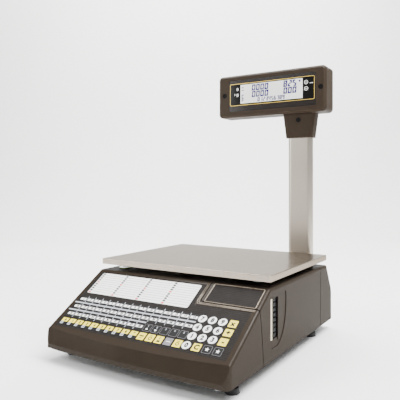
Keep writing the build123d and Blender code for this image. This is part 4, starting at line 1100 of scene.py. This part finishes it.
@dataclass
class Studio:
    """Floor, backdrop, lights and camera."""

    eye: Sequence[float] = (0.5430, -0.8785, 0.3230)
    turn: float = 32.08
    lens: float = 45.75
    shift_up: float = -0.0437
    room_light: float = 0.42
    floor_reach: float = 14.0
    floor_drop: float = 0.2 * MM
    sweep_distance: float = 2.6
    sweep_width: float = 8.0
    sweep_height: float = 3.2
    sweep_radius: float = 0.9
    sweep_steps: int = 16

    def build(self) -> None:
        """Make the floor, the backdrop, the camera and the lights."""
        shader = Shader("pale_floor")
        slow = shader.noise(2.0, 2.0)
        shader.colour(slow, paint(248, 248, 247), paint(252, 252, 251))
        shader.rough(slow, 0.75, 0.85)
        shader.set(Specular_IOR_Level=0.1)
        self.floor(shader.material)
        self.backdrop(shader.material)
        self.camera()
        self.background()
        for light in LIGHTS:
            light.hang()
        ahead = self.view_direction()
        place = ahead * 1.2 + Vector((0.0, 0.0, 2.6))
        Light("backdrop_light", place, ahead * 3.0, (2.4, 0.8), 150.0).hang()
        log.info("%d lights hung, studio ready", len(LIGHTS) + 1)

    def view_direction(self) -> Vector:
        """Give the level direction in which the camera looks."""
        angle = math.radians(self.turn)
        return Vector((-math.sin(angle), math.cos(angle), 0.0))

    def floor(self, material: bpy.types.Material) -> None:
        """Lay a wide floor just under the feet."""
        reach = self.floor_reach
        mesh = bmesh.new()
        corners = ((-reach, -reach), (reach, -reach), (reach, reach), (-reach, reach))
        mesh.faces.new([mesh.verts.new((x, y, -self.floor_drop)) for x, y in corners])
        self.stage("studio_floor", mesh, material)

    def backdrop(self, material: bpy.types.Material) -> None:
        """Stand a curved sweep behind the scale, square to the camera's direction."""
        ahead = self.view_direction()
        side = Vector((ahead.y, -ahead.x, 0.0)) * self.sweep_width / 2
        up = Vector((0.0, 0.0, 1.0))
        profile = []
        for step in range(self.sweep_steps + 1):
            angle = math.pi / 2 * step / self.sweep_steps
            out = self.sweep_distance - self.sweep_radius + self.sweep_radius * math.sin(angle)
            profile.append((out, self.sweep_radius * (1 - math.cos(angle))))
        profile.append((self.sweep_distance, self.sweep_height))
        mesh = bmesh.new()
        rows = [
            [mesh.verts.new(ahead * out + side * edge + up * rise) for edge in (-1, 1)]
            for out, rise in profile
        ]
        for below, above in zip(rows, rows[1:]):
            mesh.faces.new((below[0], below[1], above[1], above[0]))
        self.stage("studio_backdrop", mesh, material)

    def stage(self, name: str, mesh: bmesh.types.BMesh, material: bpy.types.Material) -> None:
        """Add a smooth surface that isn't part of the scale.

        Args:
            name: Its name.
            mesh: Its shape.
            material: Its finish.
        """
        surface = new_object(name, mesh, material, smooth=True)

    def camera(self) -> None:
        """Set the camera level, looking past the scale's right front corner."""
        data = bpy.data.cameras.new("studio_camera")
        data.lens = self.lens
        data.shift_y = self.shift_up
        camera = bpy.data.objects.new("studio_camera", data)
        camera.location = self.eye
        camera.rotation_euler = (math.radians(90), 0.0, math.radians(self.turn))
        bpy.context.scene.collection.objects.link(camera)
        bpy.context.scene.camera = camera

    def background(self) -> None:
        """Give the room an even pale light."""
        world = bpy.data.worlds.new("studio")
        world.use_nodes = True
        ground = world.node_tree.nodes["Background"]
        ground.inputs["Color"].default_value = (1.0, 1.0, 1.0, 1.0)
        ground.inputs["Strength"].default_value = self.room_light
        bpy.context.scene.world = world


def main() -> None:
    """Dress the parts, lay the prints and set the studio."""
    logging.basicConfig(level=logging.INFO, format="%(message)s")
    workshop = Workshop()
    for name, nodes in NODE_FINISHES.items():
        workshop.dress(name, nodes)
    Studio().build()
    Keyboard(workshop).build()
    PriceList(workshop).build()
    DisplayFace(workshop, "front", -1).build()
    DisplayFace(workshop, "rear", 1).build()
    SlopeBeads(workshop).build()


if __name__ == "__main__":
    main()
